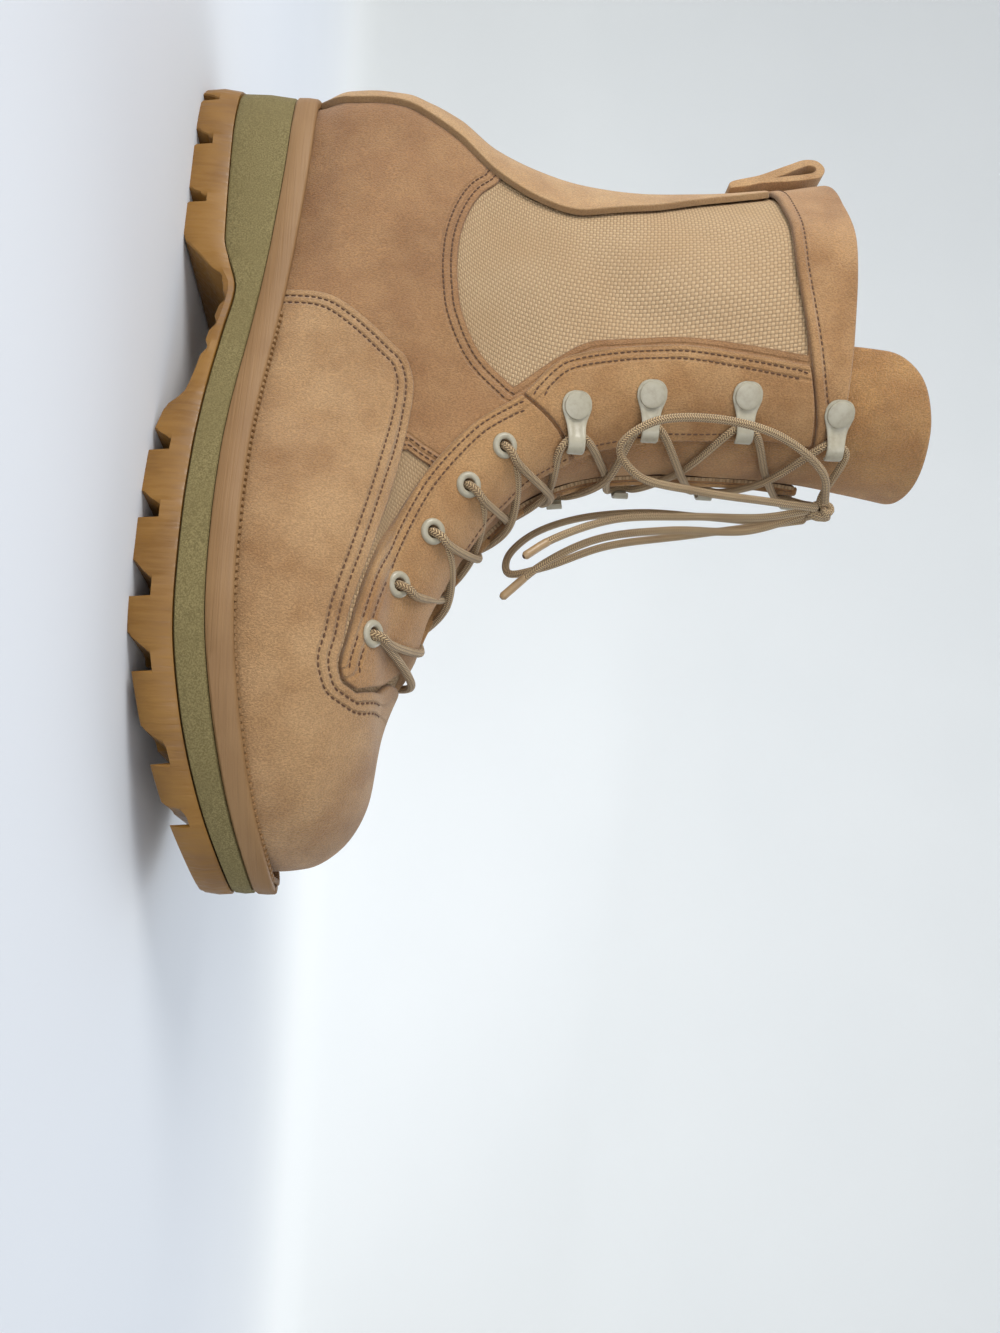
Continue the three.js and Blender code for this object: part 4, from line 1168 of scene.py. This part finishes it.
def ring_loft(rings):
    """Faces of a body from equal rings, closed by a fan at each end."""
    points = np.vstack(rings)
    n = len(rings[0])
    faces = []
    for r in range(len(rings) - 1):
        for i in range(n):
            j = (i + 1) % n
            faces.append((r * n + i, r * n + j, (r + 1) * n + j, (r + 1) * n + i))
    middles = [rings[0].mean(0), rings[-1].mean(0)]
    points = np.vstack([points, middles])
    top = (len(rings) - 1) * n
    for i in range(n):
        j = (i + 1) % n
        faces += [(len(points) - 2, j, i), (len(points) - 1, top + i, top + j)]
    return points, faces


def layer_ring(x, bottom, top, side_rows, over=()):
    """One ring. side_rows are (share, inset); over is (distance in from the edge, rise)."""
    centre, half = plan(x)
    own = lambda d: x - taper(x) * min(d, END_DRAW)
    rows = []
    for share, inset in side_rows:
        z0, z1 = bottom(own(inset)), top(own(inset))
        rows.append((own(inset), max(SLIMMEST, half - inset), z0 + (z1 - z0) * share))
    rows += [(own(d), max(SLIMMEST, half - d), top(own(d)) + rise) for d, rise in over]
    inner = [(a, centre + out, z) for a, out, z in rows]
    outer = [(a, centre - out, z) for a, out, z in rows[::-1]]
    return np.array(inner + outer)


def level_line(column, lift=0.0):
    xs = np.linspace(-2, 320, 645)
    zs = level(column, xs) + lift
    return lambda x: np.interp(x, xs, zs)


# %% Foam layer and rubber frame
MIDSOLE_SIDE = [(0, 1.4), (0.05, 0.8), (0.5, 0.4), (0.95, 0.7), (1, 1.2)]
FRAME_SIDE = [(0, 1.0), (0.08, 0.4), (0.5, 0.2), (0.86, 0.3), (0.96, 0.7), (1, 1.3)]
LEDGE = [(2.4, 0.0), (2.9, -0.4), (3.3, -2.5), (9.0, -2.5)]
foam_rings = [layer_ring(x, level_line(GUM, GAP), level_line(FOAM), MIDSOLE_SIDE) for x in stations()]
make_piece("midsole_foam", *ring_loft(foam_rings), OLIVE_FOAM, "foam", ["midsole"])
frame_rings = [
    layer_ring(x, level_line(FOAM, GAP), level_line(RUBBER), FRAME_SIDE, LEDGE) for x in stations()]
make_piece("welt_frame", *ring_loft(frame_rings), TAN_RUBBER, "tan_rubber", ["welt"])

# %% Tread
TREAD_SIDE = [(0, 1.2), (0.06, 0.7), (0.5, 0.0), (0.94, 0.3), (1, 0.6)]
TREAD_COLUMNS = [0.8, 3, 6, 9, 13.5, 15.5, 17.3, 18.8, 20.2, 21.8, 23.2, 24.8]


def notch_depth(x, d, y):
    """How far the tread is cut up at a place: d is the distance in from the nearer edge."""
    deep = 0.0
    for rows, groove in ((NOTCHES, GROOVE), (SCALLOPS, SCALLOP)):
        for start, end, inward in rows:
            shares = NOTCH_TAPER if groove == GROOVE else SCALLOP_TAPER
            slope, step = ((end - start) * share for share in shares)
            along = limited((x - start) / slope) * limited((end - x) / step)
            deep = max(deep, groove * along * limited((inward + 0.75 - d) / 1.5))
            if groove == GROOVE:
                middle = (start + end) / 2
                deep = max(deep, SHALLOW * limited((CHANNEL_HALF + 0.4 - abs(x - middle)) / 0.8))
    for start, end, line in TREAD_LINES:
        if start <= x <= end:
            deep = max(deep, SHALLOW * limited((CHANNEL_HALF + 0.4 - abs(y - line)) / 0.8))
    return deep


def tread_ring(x, ground, gum):
    centre, half = plan(x)
    own = lambda d: x - taper(x) * min(d, 1.5)
    fit = min(1.0, half / 27)
    ring = []
    for side in (1, -1):
        part = []
        for share, inset in TREAD_SIDE:
            z0, z1 = ground(own(inset)), gum(own(inset))
            low = z0 + notch_depth(x, 0, centre + side * half)
            y = centre + side * max(SLIMMEST, half - inset)
            part.append((own(inset), y, max(z0 + (z1 - z0) * share, low + 0.02 * share)))
        columns = [d * fit for d in TREAD_COLUMNS]
        rest = half - columns[-1] - 0.1
        columns += [columns[-1] + rest * k / 4 for k in range(1, 4)]
        under = []
        for d in columns[::-1]:
            y = centre + side * (half - 1.2 - d)
            under.append((own(1.2), y, ground(own(1.2)) + notch_depth(x, d + 1.2, y)))
        ring.append(under + part)
    return np.array(ring[0] + ring[1][::-1])


def tread_stations():
    extra = []
    for table, (slope, step) in ((NOTCHES, NOTCH_TAPER), (SCALLOPS, SCALLOP_TAPER)):
        for start, end, _ in table:
            extra += [start, start + (end - start) * slope, end - (end - start) * step, end]
    for start, end, _ in NOTCHES:
        extra += [(start + end) / 2 + off for off in (-2.4, -1.6, 1.6, 2.4)]
    return stations(extra)


tread_rings = [tread_ring(x, level_line(GROUND), level_line(GUM)) for x in tread_stations()]
make_piece("outsole_tread", *ring_loft(tread_rings), GUM_RUBBER, "gum_rubber", ["outsole"], crease=30.0)

# %% Insole
INSOLE_THICK = 4.2


def insole_pad():
    inset = WALL + 2 * GAP
    outer, _ = even_half(0.9, -1, 60)
    inner, _ = even_half(0.9, 1, 60)
    edge = np.vstack([outer, inner[-2:0:-1]])[:, :2]
    centre = edge.mean(0)
    rings = []
    profile = ((0.9, 0.2), (0.985, 0.4), (1.0, 1.2), (1.0, 3.2), (0.985, 3.9), (0.9, INSOLE_THICK))
    for share, height in profile:
        pulled = centre + (edge - centre) * (1 - inset / 55) * share
        z = level(RUBBER, pulled[:, 0]) + GAP + height
        rings.append(np.column_stack([pulled, z]))
    points, faces = ring_loft(rings)
    return points, faces


make_piece("insole_pad", *insole_pad(), LINING, "lining", ["insole"])

# %% [markdown]
# ## Setting small parts with Geometry Nodes
# Rings, hooks, stitches and the welt's teeth are one small shape repeated along a line. One node
# tree does it: the line's points carry two directions, ahead and out, and the tree sets a copy
# of the shape on each point, turned to them, and then makes the copies real.

# %% The setting tree


def setting_tree():
    tree = bpy.data.node_groups.new("set_small_parts", "GeometryNodeTree")
    for label, kind in (("Points", "Geometry"), ("Shape", "Object"), ("Finish", "Material")):
        tree.interface.new_socket(label, in_out="INPUT", socket_type=f"NodeSocket{kind}")
    tree.interface.new_socket("Parts", in_out="OUTPUT", socket_type="NodeSocketGeometry")
    given, out = tree.nodes.new("NodeGroupInput").outputs, tree.nodes.new("NodeGroupOutput").inputs
    ways = []
    for name in ("ahead", "out"):
        node = tree.nodes.new("GeometryNodeInputNamedAttribute")
        node.data_type = "FLOAT_VECTOR"
        node.inputs["Name"].default_value = name
        ways.append(node.outputs["Attribute"])
    turn = tree.nodes.new("FunctionNodeAxesToRotation")
    turn.primary_axis, turn.secondary_axis = "Z", "X"
    tree.links.new(ways[1], turn.inputs[0])
    tree.links.new(ways[0], turn.inputs[1])
    shape = tree.nodes.new("GeometryNodeObjectInfo")
    tree.links.new(given["Shape"], shape.inputs["Object"])
    copies = tree.nodes.new("GeometryNodeInstanceOnPoints")
    tree.links.new(given["Points"], copies.inputs["Points"])
    tree.links.new(shape.outputs["Geometry"], copies.inputs["Instance"])
    tree.links.new(turn.outputs[0], copies.inputs["Rotation"])
    real = tree.nodes.new("GeometryNodeRealizeInstances")
    tree.links.new(copies.outputs[0], real.inputs[0])
    finish = tree.nodes.new("GeometryNodeSetMaterial")
    tree.links.new(real.outputs[0], finish.inputs["Geometry"])
    tree.links.new(given["Finish"], finish.inputs["Material"])
    tree.links.new(finish.outputs[0], out["Parts"])
    return tree


SETTING = setting_tree()


PART_CREASE = 35.0


def set_parts(name, spots, ahead, out, shape, finish, stands_for=()):
    """Copies of a shape (points in millimetres, faces) set on spots, as one finished piece."""
    proto = add_object(f"{name}_shape", bpy.data.meshes.new(f"{name}_shape"))
    proto.data.from_pydata((np.asarray(shape[0]) / 1000).tolist(), [], [tuple(f) for f in shape[1]])
    carrier_mesh = bpy.data.meshes.new(f"{name}_spots")
    carrier_mesh.from_pydata(to_row(spots).tolist(), [], [])
    for key, ways in (("ahead", ahead), ("out", out)):
        attribute = carrier_mesh.attributes.new(key, "FLOAT_VECTOR", "POINT")
        attribute.data.foreach_set("vector", np.asarray(ways, np.float32).ravel())
    carrier = add_object(f"{name}_spots", carrier_mesh)
    modifier = carrier.modifiers.new("setting", "NODES")
    modifier.node_group = SETTING
    sockets = {i.name: i.identifier for i in SETTING.interface.items_tree if i.in_out == "INPUT"}
    modifier[sockets["Shape"]] = proto
    modifier[sockets["Finish"]] = finish
    bpy.context.view_layer.update()
    made = bpy.data.meshes.new_from_object(carrier.evaluated_get(bpy.context.evaluated_depsgraph_get()))
    made.name = name
    for spent in (carrier, proto):
        bpy.data.objects.remove(spent)
    piece = add_object(name, made)
    made.shade_smooth()
    made.set_sharp_from_angle(angle=math.radians(PART_CREASE))
    if not len(made.materials):
        made.materials.append(finish)
    finish_piece(piece, stands_for)
    print(f"{name}: {len(spots)} copies, {len(made.polygons)} faces")
    return piece


# %% [markdown]
# ## Rings and speed hooks
# The lace runs through five rolled rings a side and round four hooks a side, all painted the
# same grey beige. A ring is a turned section. A hook is a pressed plate: a round head that
# narrows to an arm, which reaches over the lacing edge and turns down, with a domed rivet on it.

# %% Painted metal


def paint_finish():
    material, tree, shader = new_material("painted_metal", 0.34, Coat_Weight=0.2, Coat_Roughness=0.25)
    place = object_place(tree)
    wear = grain(tree, place, 260.0, 4.0, 0.65)
    colour = two_tone(tree, spread(tree, wear, 0.4, 0.75, 0.0, 0.6), (170, 162, 140), (144, 134, 112))
    tree.links.new(colour, shader["Base Color"])
    tree.links.new(spread(tree, wear, 0.3, 0.7, 0.28, 0.45), shader["Roughness"])
    tree.links.new(raised(tree, grain(tree, place, 900.0), 0.00004), shader["Normal"])
    return material


PAINT = paint_finish()


TURNED_SIDES = 36


def turned(section):
    """A closed section (radius, height) turned about the z axis."""
    section, sides = np.array(section, float), TURNED_SIDES
    angle = 2 * np.pi * np.arange(sides) / sides
    points = np.array([[r * math.cos(a), r * math.sin(a), z] for a in angle for r, z in section])
    n = len(section)
    faces = []
    for s in range(sides):
        here, onward = s * n, ((s + 1) % sides) * n
        faces += [(here + i, onward + i, onward + (i + 1) % n, here + (i + 1) % n) for i in range(n)]
    return points, faces


def domed(radius, height, dome):
    """A rivet head: a low drum with a rounded, domed top."""
    sides = TURNED_SIDES
    rows = [(radius, 0), (radius, height - 0.35), (radius - 0.12, height - 0.1), (radius - 0.45, height)]
    rows += [((radius - 0.45) * k, height + dome * (1 - k * k)) for k in (0.75, 0.5, 0.25)]
    angle = 2 * np.pi * np.arange(sides) / sides
    points = [[r * math.cos(a), r * math.sin(a), z] for r, z in rows for a in angle]
    points += [[0, 0, height + dome], [0, 0, 0]]
    faces = []
    for here in range(0, (len(rows) - 1) * sides, sides):
        onward = here + sides
        for i in range(sides):
            j = (i + 1) % sides
            faces.append((here + i, here + j, onward + j, onward + i))
    top = (len(rows) - 1) * sides
    faces += [(top + i, top + (i + 1) % sides, len(points) - 2) for i in range(sides)]
    faces += [((i + 1) % sides, i, len(points) - 1) for i in range(sides)]
    return np.array(points), faces


RING_SECTION = [
    (HOLE_RADIUS, 0.0), (HOLE_RADIUS, 0.75), (2.75, 1.15), (3.3, 1.3), (4.0, 1.2), (4.55, 0.8),
    (RING_RADIUS, 0.25), (RING_RADIUS, 0.0), (3.6, -0.05)]
PLATE_ROWS = [
    # along, height, half width
    (-5.6, 0.1, 1.6), (-5.0, 0.1, 3.3), (-3.6, 0.1, 4.8), (-1.6, 0.1, 5.65), (0.6, 0.1, 5.75),
    (3.0, 0.15, 5.1), (5.2, 0.3, 4.3), (7.4, 0.9, 3.75), (9.6, 1.8, 3.5), (11.6, 2.6, 3.35),
    (13.6, 3.0, 3.3), (15.2, 2.8, 3.3), (16.4, 2.1, 3.25), (16.9, 1.1, 3.1), (16.5, 0.1, 2.9)]
PLATE_THICK = 0.95
RIVET_RADIUS, RIVET_HEIGHT, RIVET_DOME = 5.05, 0.95, 0.25


def hook_plate():
    """The pressed plate of a hook, as a strip with rounded sides and a shallow channel."""
    line = np.array([(a, h) for a, h, _ in PLATE_ROWS])
    widths = np.array([w for *_, w in PLATE_ROWS])
    run = lengths(line)
    at = np.linspace(0, run[-1], 44)
    line = np.column_stack([np.interp(at, run, line[:, k]) for k in (0, 1)])
    widths = between(run, widths, at)
    ahead = unit_rows(np.gradient(line, axis=0))
    out = np.column_stack([-ahead[:, 1], ahead[:, 0]])
    rings = []
    for (a, h), (nx, nz), w, s in zip(line, out, widths, at):
        dip = 0.35 * limited((s - 8) / 3) * limited((19.5 - s) / 3)
        section = [(-1, 0.1), (-0.94, 0), (0.94, 0), (1, 0.1), (1, 0.75), (0.9, 1), (0.55, 1),
                   (0.4, 1 - dip), (-0.4, 1 - dip), (-0.55, 1), (-0.9, 1), (-1, 0.75)]
        rise = [(y * w, t * PLATE_THICK) for y, t in section]
        rings.append(np.array([(a + nx * t, y, h + nz * t) for y, t in rise]))
    return ring_loft(rings)


def hook_shape():
    plate_points, plate_faces = hook_plate()
    head_points, head_faces = domed(RIVET_RADIUS, RIVET_HEIGHT, RIVET_DOME)
    head_points = head_points + np.array([0, 0, PLATE_THICK + 0.05])
    base = len(plate_points)
    head_faces = [tuple(base + i for i in face) for face in head_faces]
    return np.vstack([plate_points, head_points]), plate_faces + head_faces


def spot_on(x, z, side):
    """The last's face at x and z, with the way out and the way to the front."""
    def point(px, pz):
        low, high = 0.0, float(TOP_LOOP)
        for _ in range(34):
            mid = (low + high) / 2
            m = last_at(mid)
            rise = m["backZ"] + (px - m["backX"]) * (m["frontZ"] - m["backZ"]) / (m["frontX"] - m["backX"])
            low, high = (mid, high) if rise < pz else (low, mid)
        m = last_at(low)
        t = np.array([min(0.999, (px - m["backX"]) / (m["frontX"] - m["backX"]))])
        return half_loop(low, side, t)[0]
    centre = point(x, z)
    ahead, up = point(x + 1, z) - point(x - 1, z), point(x, z + 1) - point(x, z - 1)
    ahead, up = ahead / np.linalg.norm(ahead), up / np.linalg.norm(up)
    out = np.cross(ahead, up) * -side
    return centre, ahead, out / np.linalg.norm(out)


def spots_for(table):
    found = [spot_on(x, z, side) for side in (-1, 1) for x, z in table]
    return [np.array(part) for part in zip(*found)]


for name, node, table, lift, shape in (("eyelet_rings", "eyelet", EYELETS, -0.1, turned(RING_SECTION)),
                                       ("speed_hooks", "hook", HOOKS, 0.15, hook_shape())):
    spots, ahead, out = spots_for(table)
    nodes = [f"{node}_{tag}_{i + 1}" for tag in ("outer", "inner") for i in range(len(table))]
    set_parts(name, spots + out * (TOP_FACE + lift), ahead, out, shape, PAINT, nodes)

# %% [markdown]
# ## The lacing
# Each half of the lace comes up through a ring, bends over the edge of the facing, crosses the
# tongue and dives under the other facing to the next ring. At the hooks it makes a V round the
# arm. The route is worked out from the rings and hooks, so it stays true to the pattern.

# %% Lace through rings and hooks
RIDGE_RANGE = (4.5, 13.9)


def ridge_spot(place):
    """The point of the front ridge nearest to a place, with its way out and its way up the boot."""
    ats = np.linspace(*RIDGE_RANGE, 240)
    line = np.array([ridge(a) for a in ats])
    k = int(np.argmin(np.hypot(line[:, 0] - place[0], line[:, 2] - place[2])))
    k = min(max(k, 1), len(ats) - 2)
    up = line[k + 1] - line[k - 1]
    up /= np.linalg.norm(up)
    out = np.array([up[2], 0, -up[0]])
    return line[k], out, up


def way_over(spot, out):
    """The way along the surface from a spot toward the front ridge."""
    way = ridge_spot(spot)[0] - spot
    way -= out * np.dot(way, out)
    return way / np.linalg.norm(way)


def lace_run(first):
    """One half of the lace, from the lowest ring to the knot."""
    points, side = [], first
    for i in range(len(EYELETS)):
        spot, _, out = spot_on(*EYELETS[i], side)
        toward = way_over(spot, out)
        points += [spot - out * 2.6 - toward * 0.2, spot + out * 1.6, spot + out * 3.9 + toward * 3.0,
                   spot + out * 3.1 + toward * 7.0]
        target = spot_on(*(EYELETS[i + 1] if i + 1 < len(EYELETS) else HOOKS[0]), -side)
        middle, middle_out, _ = ridge_spot((spot + target[0]) / 2)
        lift = TONGUE_FACE + LACE_RADIUS + (2.9 if side == first * (-1) ** i and first < 0 else 0.5)
        points += [middle + middle_out * (lift + 0.6) + np.array([0, side * 1.5, 0])]
        if i + 1 < len(EYELETS):
            t_spot, _, t_out = target
            t_way = way_over(t_spot, t_out)
            points += [t_spot - t_out * 0.6 + t_way * 9.0, t_spot - t_out * 2.9 + t_way * 4.0]
        side = -side
    for i in range(len(HOOKS)):
        spot, ahead, out = spot_on(*HOOKS[i], side)
        _, _, up = ridge_spot(spot)
        neck = spot + ahead * 12.2 + out * (TOP_FACE + 0.9)
        points += [neck - up * 5.5 + ahead * 2.0 - out * 0.6, neck - up * 2.2 - ahead * 0.7,
                   neck - ahead * 1.3, neck + up * 2.2 - ahead * 0.7,
                   neck + up * 5.5 + ahead * 2.0 - out * 0.6]
        if i + 1 < len(HOOKS):
            target = spot_on(*HOOKS[i + 1], -side)[0]
            middle, middle_out, _ = ridge_spot((spot + target) / 2)
            lift = TONGUE_FACE + LACE_RADIUS + (3.4 if first < 0 else 0.6)
            points += [middle + middle_out * lift]
        side = -side
    points += [KNOT + np.array([-3.0, -side * 3.0, -1.0]), KNOT + np.array([-0.5, -side * 1.5, 0])]
    return points


def lowest_bar():
    spots = [spot_on(*EYELETS[0], side) for side in (-1, 1)]
    (a, _, a_out), (b, _, b_out) = spots
    crest, crest_out, up = ridge_spot(a)
    return [a - a_out * 2.4, a + a_out * 1.6 - up * 0.5, a + a_out * 3.6 + (crest - a) * 0.25,
            crest + crest_out * 4.4 - up * 1.0, b + b_out * 3.6 + (crest - b) * 0.25,
            b + b_out * 1.6 - up * 0.5, b - b_out * 2.4]


routes = (lace_run(-1), lace_run(1), lowest_bar())
laced = [even(through(np.array(route), 12), CORD_STEP) for route in routes]
points, faces, maps = join_parts([tube(line, LACE_RADIUS) for line in laced])
make_piece("lace_crossed", points, faces, LACE, "lace_cord", ["lace_crossings"], maps)
print("laced length:", [round(float(lengths(line)[-1])) for line in laced], "mm")

# %% [markdown]
# ## Stitching
# The seams are sewn in dark thread, mostly in two rows about 3 mm apart. A row is traced on the
# net where a panel's field has a certain value, and the setting tree lays one small stitch on
# each of its points.

# %% Tracing a seam
STITCH_PITCH, STITCH_LENGTH, THREAD_RADIUS = 2.45, 2.0, 0.34


def trace(net, field, at_level, allowed):
    """Lines over the net where the field has a value, as chains of (place, way out) rows."""
    data, tris = net
    values = field(data) - at_level
    rough = tris[(values[tris].min(1) < 0) & (values[tris].max(1) >= 0)]
    nodes, links = {}, {}

    def on_edge(a, b):
        key = (min(a, b), max(a, b))
        if key not in nodes:
            share = values[key[0]] / (values[key[0]] - values[key[1]])
            nodes[key] = data[key[0]] + (data[key[1]] - data[key[0]]) * share
        return key

    for tri in rough:
        a, b, c = (int(i) for i in tri)
        ends = [on_edge(p, q) for p, q in ((a, b), (b, c), (c, a)) if (values[p] < 0) != (values[q] < 0)]
        for p, q in (ends, ends[::-1]):
            links.setdefault(p, []).append(q)
    keys = list(nodes)
    good = dict(zip(keys, allowed(np.array([nodes[k] for k in keys])))) if keys else {}
    chains, seen = [], set()
    starts = [k for k in keys if good[k] and sum(good[m] for m in links[k]) == 1] + keys
    for start in starts:
        if start in seen or not good[start]:
            continue
        chain, here = [], start
        while here is not None:
            seen.add(here)
            chain.append(nodes[here])
            onward = [m for m in links[here] if m not in seen and good[m]]
            here = onward[0] if onward else None
        if len(chain) > 6:
            chains.append(np.array(chain))
    return chains


def thread_finish():
    material, tree, shader = new_material("dark_thread", 0.65)
    tone = grain(tree, object_place(tree), 900.0)
    tree.links.new(two_tone(tree, tone, (70, 44, 24), (104, 70, 42)), shader["Base Color"])
    return material


THREAD = thread_finish()


def stitch_shape():
    """One stitch: a short round thread that dips at both ends."""
    rows = [(-0.5, 0.25, -0.25), (-0.42, 0.8, 0.0), (-0.2, 1.0, 0.16),
            (0.2, 1.0, 0.16), (0.42, 0.8, 0.0), (0.5, 0.25, -0.25)]
    angle = 2 * np.pi * np.arange(6) / 6
    rings = [np.column_stack([np.full(6, a * STITCH_LENGTH), np.cos(angle) * r * THREAD_RADIUS,
                              np.sin(angle) * r * THREAD_RADIUS + rise]) for a, r, rise in rows]
    return ring_loft(rings)


def sew(name, field, rows, height, allowed):
    """Stitches along the given rows of a field, at a height over the last."""
    spots, ahead, out = [], [], []
    for row in rows:
        for chain in trace(FINE_NET, field, row, allowed):
            place, ways = chain[:, :3], chain[:, 3:6]
            line = even(np.column_stack([place + ways * height, ways]), STITCH_PITCH)
            spots.append(line[:, :3])
            ahead.append(unit_rows(np.gradient(line[:, :3], axis=0)))
            out.append(line[:, 3:6])
    spots, ahead, out = (np.vstack(part) for part in (spots, ahead, out))
    return set_parts(name, spots, ahead, out, stitch_shape(), THREAD)


# %% Sewing the seams
vamp_edge, lower_edge, upper_edge, cuff_edge = (
    pattern_field(name) for name in ("vamp", "eyestay_lower", "eyestay_upper", "cuff"))
SEAM_HEIGHT = TOP_FACE - 0.1
FACING_ROWS = (-2.2, -4.9)


def clear(d):
    """Away from the throat, the sole and the collar."""
    return (throat_field(d) < -2.5) & (welt_field(d) < -1.5) & (collar_field(d) < -2)


def beside(line, edge):
    """Chooses the points of a panel whose nearest edge is the given part of its outline."""
    return lambda d: distance_to(line, d[:, [0, 2]], closed=False) < -edge(d) + 0.5


def on_vamp(d):
    round_corner = (d[:, 0] < 250) | (d[:, 2] < 76)
    return clear(d) & (d[:, 0] < 264) & (d[:, 2] < 84) & round_corner


def on_facing(line, edge, other, limit):
    near = beside(line, edge)
    return lambda d: clear(d) & (throat_field(d) < -4) & (other(d) < limit) & near(d)


def along_throat(d):
    lower, upper = lower_edge(d), upper_edge(d)
    on_panel = (np.maximum(lower, upper) < 60) & (np.minimum(lower, upper) < -2)
    return (d[:, 0] > 60) & (d[:, 2] > 80) & on_panel & (cuff_edge(d) > 0)


def on_cuff(d):
    beside_loop = np.abs(d[:, 1]) > np.where(d[:, 0] < 60, LOOP_HALF, 0)
    return (throat_field(d) < -2.5) & (collar_field(d) < -4) & beside_loop


def on_quarter(d):
    bare = (lower_edge(d) > 0.4) & (vamp_edge(d) > 0.4) & (strap_edge(d) > 0.6)
    return (d[:, 2] < 122) & (d[:, 0] > 8) & bare & (d[:, 0] < 140)


def on_quarter_front(d):
    return (d[:, 2] < 120) & (lower_edge(d) > 0.3) & (vamp_edge(d) > 0.3) & (d[:, 0] > 140)


sew("vamp_stitches", vamp_edge, (-3.0, -6.0), SEAM_HEIGHT, on_vamp)
sew("facing_stitches", lower_edge, FACING_ROWS, SEAM_HEIGHT,
    on_facing(LOWER_OUTSIDE, lower_edge, holes_field, -3.2))
sew("facing_top_stitches", upper_edge, FACING_ROWS, SEAM_HEIGHT,
    on_facing(UPPER_OUTSIDE, upper_edge, lambda d: -cuff_edge(d), -0.5))
sew("throat_stitches", throat_field, (-2.6,), SEAM_HEIGHT, along_throat)
sew("cuff_stitches", cuff_edge, (-4.2,), SEAM_HEIGHT + 0.3, on_cuff)
sew("quarter_stitches", cloth_window, (2.5, 5.5), 0.0, on_quarter)
sew("quarter_front_stitches", quarter_front_field, (-2.0, -4.6), 0.0, on_quarter_front)

# %% [markdown]
# ## The toothed edge of the frame
# Between the frame and the upper runs a narrow strip with small teeth, from the waist round the
# toe. They are tiny blocks on the ledge, set along the sole's outline by the same tree.

# %% Welt teeth
TOOTH_PITCH, TOOTH_INSET = 2.5, 2.3
TEETH_START = 118


def tooth_shape():
    rows = [(-0.78, 0.7), (-0.62, 1.0), (0.62, 1.0), (0.78, 0.7)]
    return ring_loft([np.array([
        (a, -1.0 * s, -0.8), (a, 1.0 * s, -0.8), (a, 1.0 * s, 0.5 * s), (a, 0.6 * s, 0.8 * s),
        (a, -0.6 * s, 0.8 * s), (a, -1.0 * s, 0.5 * s)]) for a, s in rows])


def ledge_line():
    xs = np.linspace(TEETH_START, SOLE_LENGTH - 2.5, 300)
    centre, half = plan(xs)
    own, out = xs - taper(xs) * TOOTH_INSET, np.maximum(SLIMMEST, half - TOOTH_INSET)
    outer, inner = (np.column_stack([own, centre + side * out, level(RUBBER, own)]) for side in (-1, 1))
    return even(np.vstack([outer, inner[::-1]]), TOOTH_PITCH)


teeth = ledge_line()
set_parts("welt_teeth", teeth, unit_rows(np.gradient(teeth, axis=0)), np.tile([0, 0, 1.0], (len(teeth), 1)),
          tooth_shape(), TAN_RUBBER)

# %% [markdown]
# ## Floor and light
# The boot stands on a plain pale floor that turns up into a backdrop a good way behind. Large
# soft lights from both sides of the camera and from behind give the even light of the photograph.
# The pale world fills the far side, and the far floor glows a little so that it stays as pale.

# %% Studio
FAR_GLOW = 0.22
REACH, TURN, BACKDROP_TOP = 1.6, 0.5, 2.6


def backdrop():
    line = [(y, 0.0) for y in (-1.8, -0.6, 0.3, REACH - TURN)]
    for a in np.linspace(0.15, math.pi / 2, 12):
        line.append((REACH - TURN + TURN * math.sin(a), TURN - TURN * math.cos(a)))
    line.append((REACH, BACKDROP_TOP))
    points = [(x, y, z) for x in (-3.0, 3.0) for y, z in line]
    n = len(line)
    mesh = bpy.data.meshes.new("floor")
    mesh.from_pydata(points, [], [(i, n + i, n + i + 1, i + 1) for i in range(n - 1)])
    mesh.shade_smooth()
    floor = add_object("floor", mesh)
    material, tree, shader = new_material("pale_floor", 0.9)
    tone = grain(tree, object_place(tree), 3.0)
    tree.links.new(two_tone(tree, tone, (224, 229, 235), (232, 236, 241)), shader["Base Color"])
    far = put(tree, "ShaderNodeSeparateXYZ", {0: object_place(tree)}).outputs[1]
    shader["Emission Color"].default_value = (1.0, 0.96, 0.76, 1.0)
    tree.links.new(spread(tree, far, 0.1, 0.8, 0.0, FAR_GLOW), shader["Emission Strength"])
    mesh.materials.append(material)


def soft_light(name, place, target, size, power, colour):
    light = bpy.data.lights.new(name, "AREA")
    light.shape, light.size, light.energy, light.color = "DISK", size, power, colour
    holder = add_object(name, light)
    holder.location = place
    holder.rotation_euler = (Vector(target) - Vector(place)).to_track_quat("-Z", "Y").to_euler()


backdrop()
soft_light("key", (-0.75, -1.0, 0.55), (0, 0, 0.1), 0.7, 13.0, (1.0, 0.98, 0.95))
soft_light("side", (0.6, -1.1, 0.35), (0, 0, 0.12), 0.9, 4.5, (0.96, 0.98, 1.0))
soft_light("back", (0.2, 1.0, 1.1), (0, 0, 0.1), 1.0, 5.0, (0.96, 0.98, 1.0))
world = bpy.data.worlds.new("pale_room")
world.use_nodes = True
world.node_tree.nodes["Background"].inputs[0].default_value = (0.86, 0.91, 1.0, 1.0)
world.node_tree.nodes["Background"].inputs[1].default_value = 0.52
bpy.context.scene.world = world
bpy.context.scene.view_settings.view_transform = "Standard"
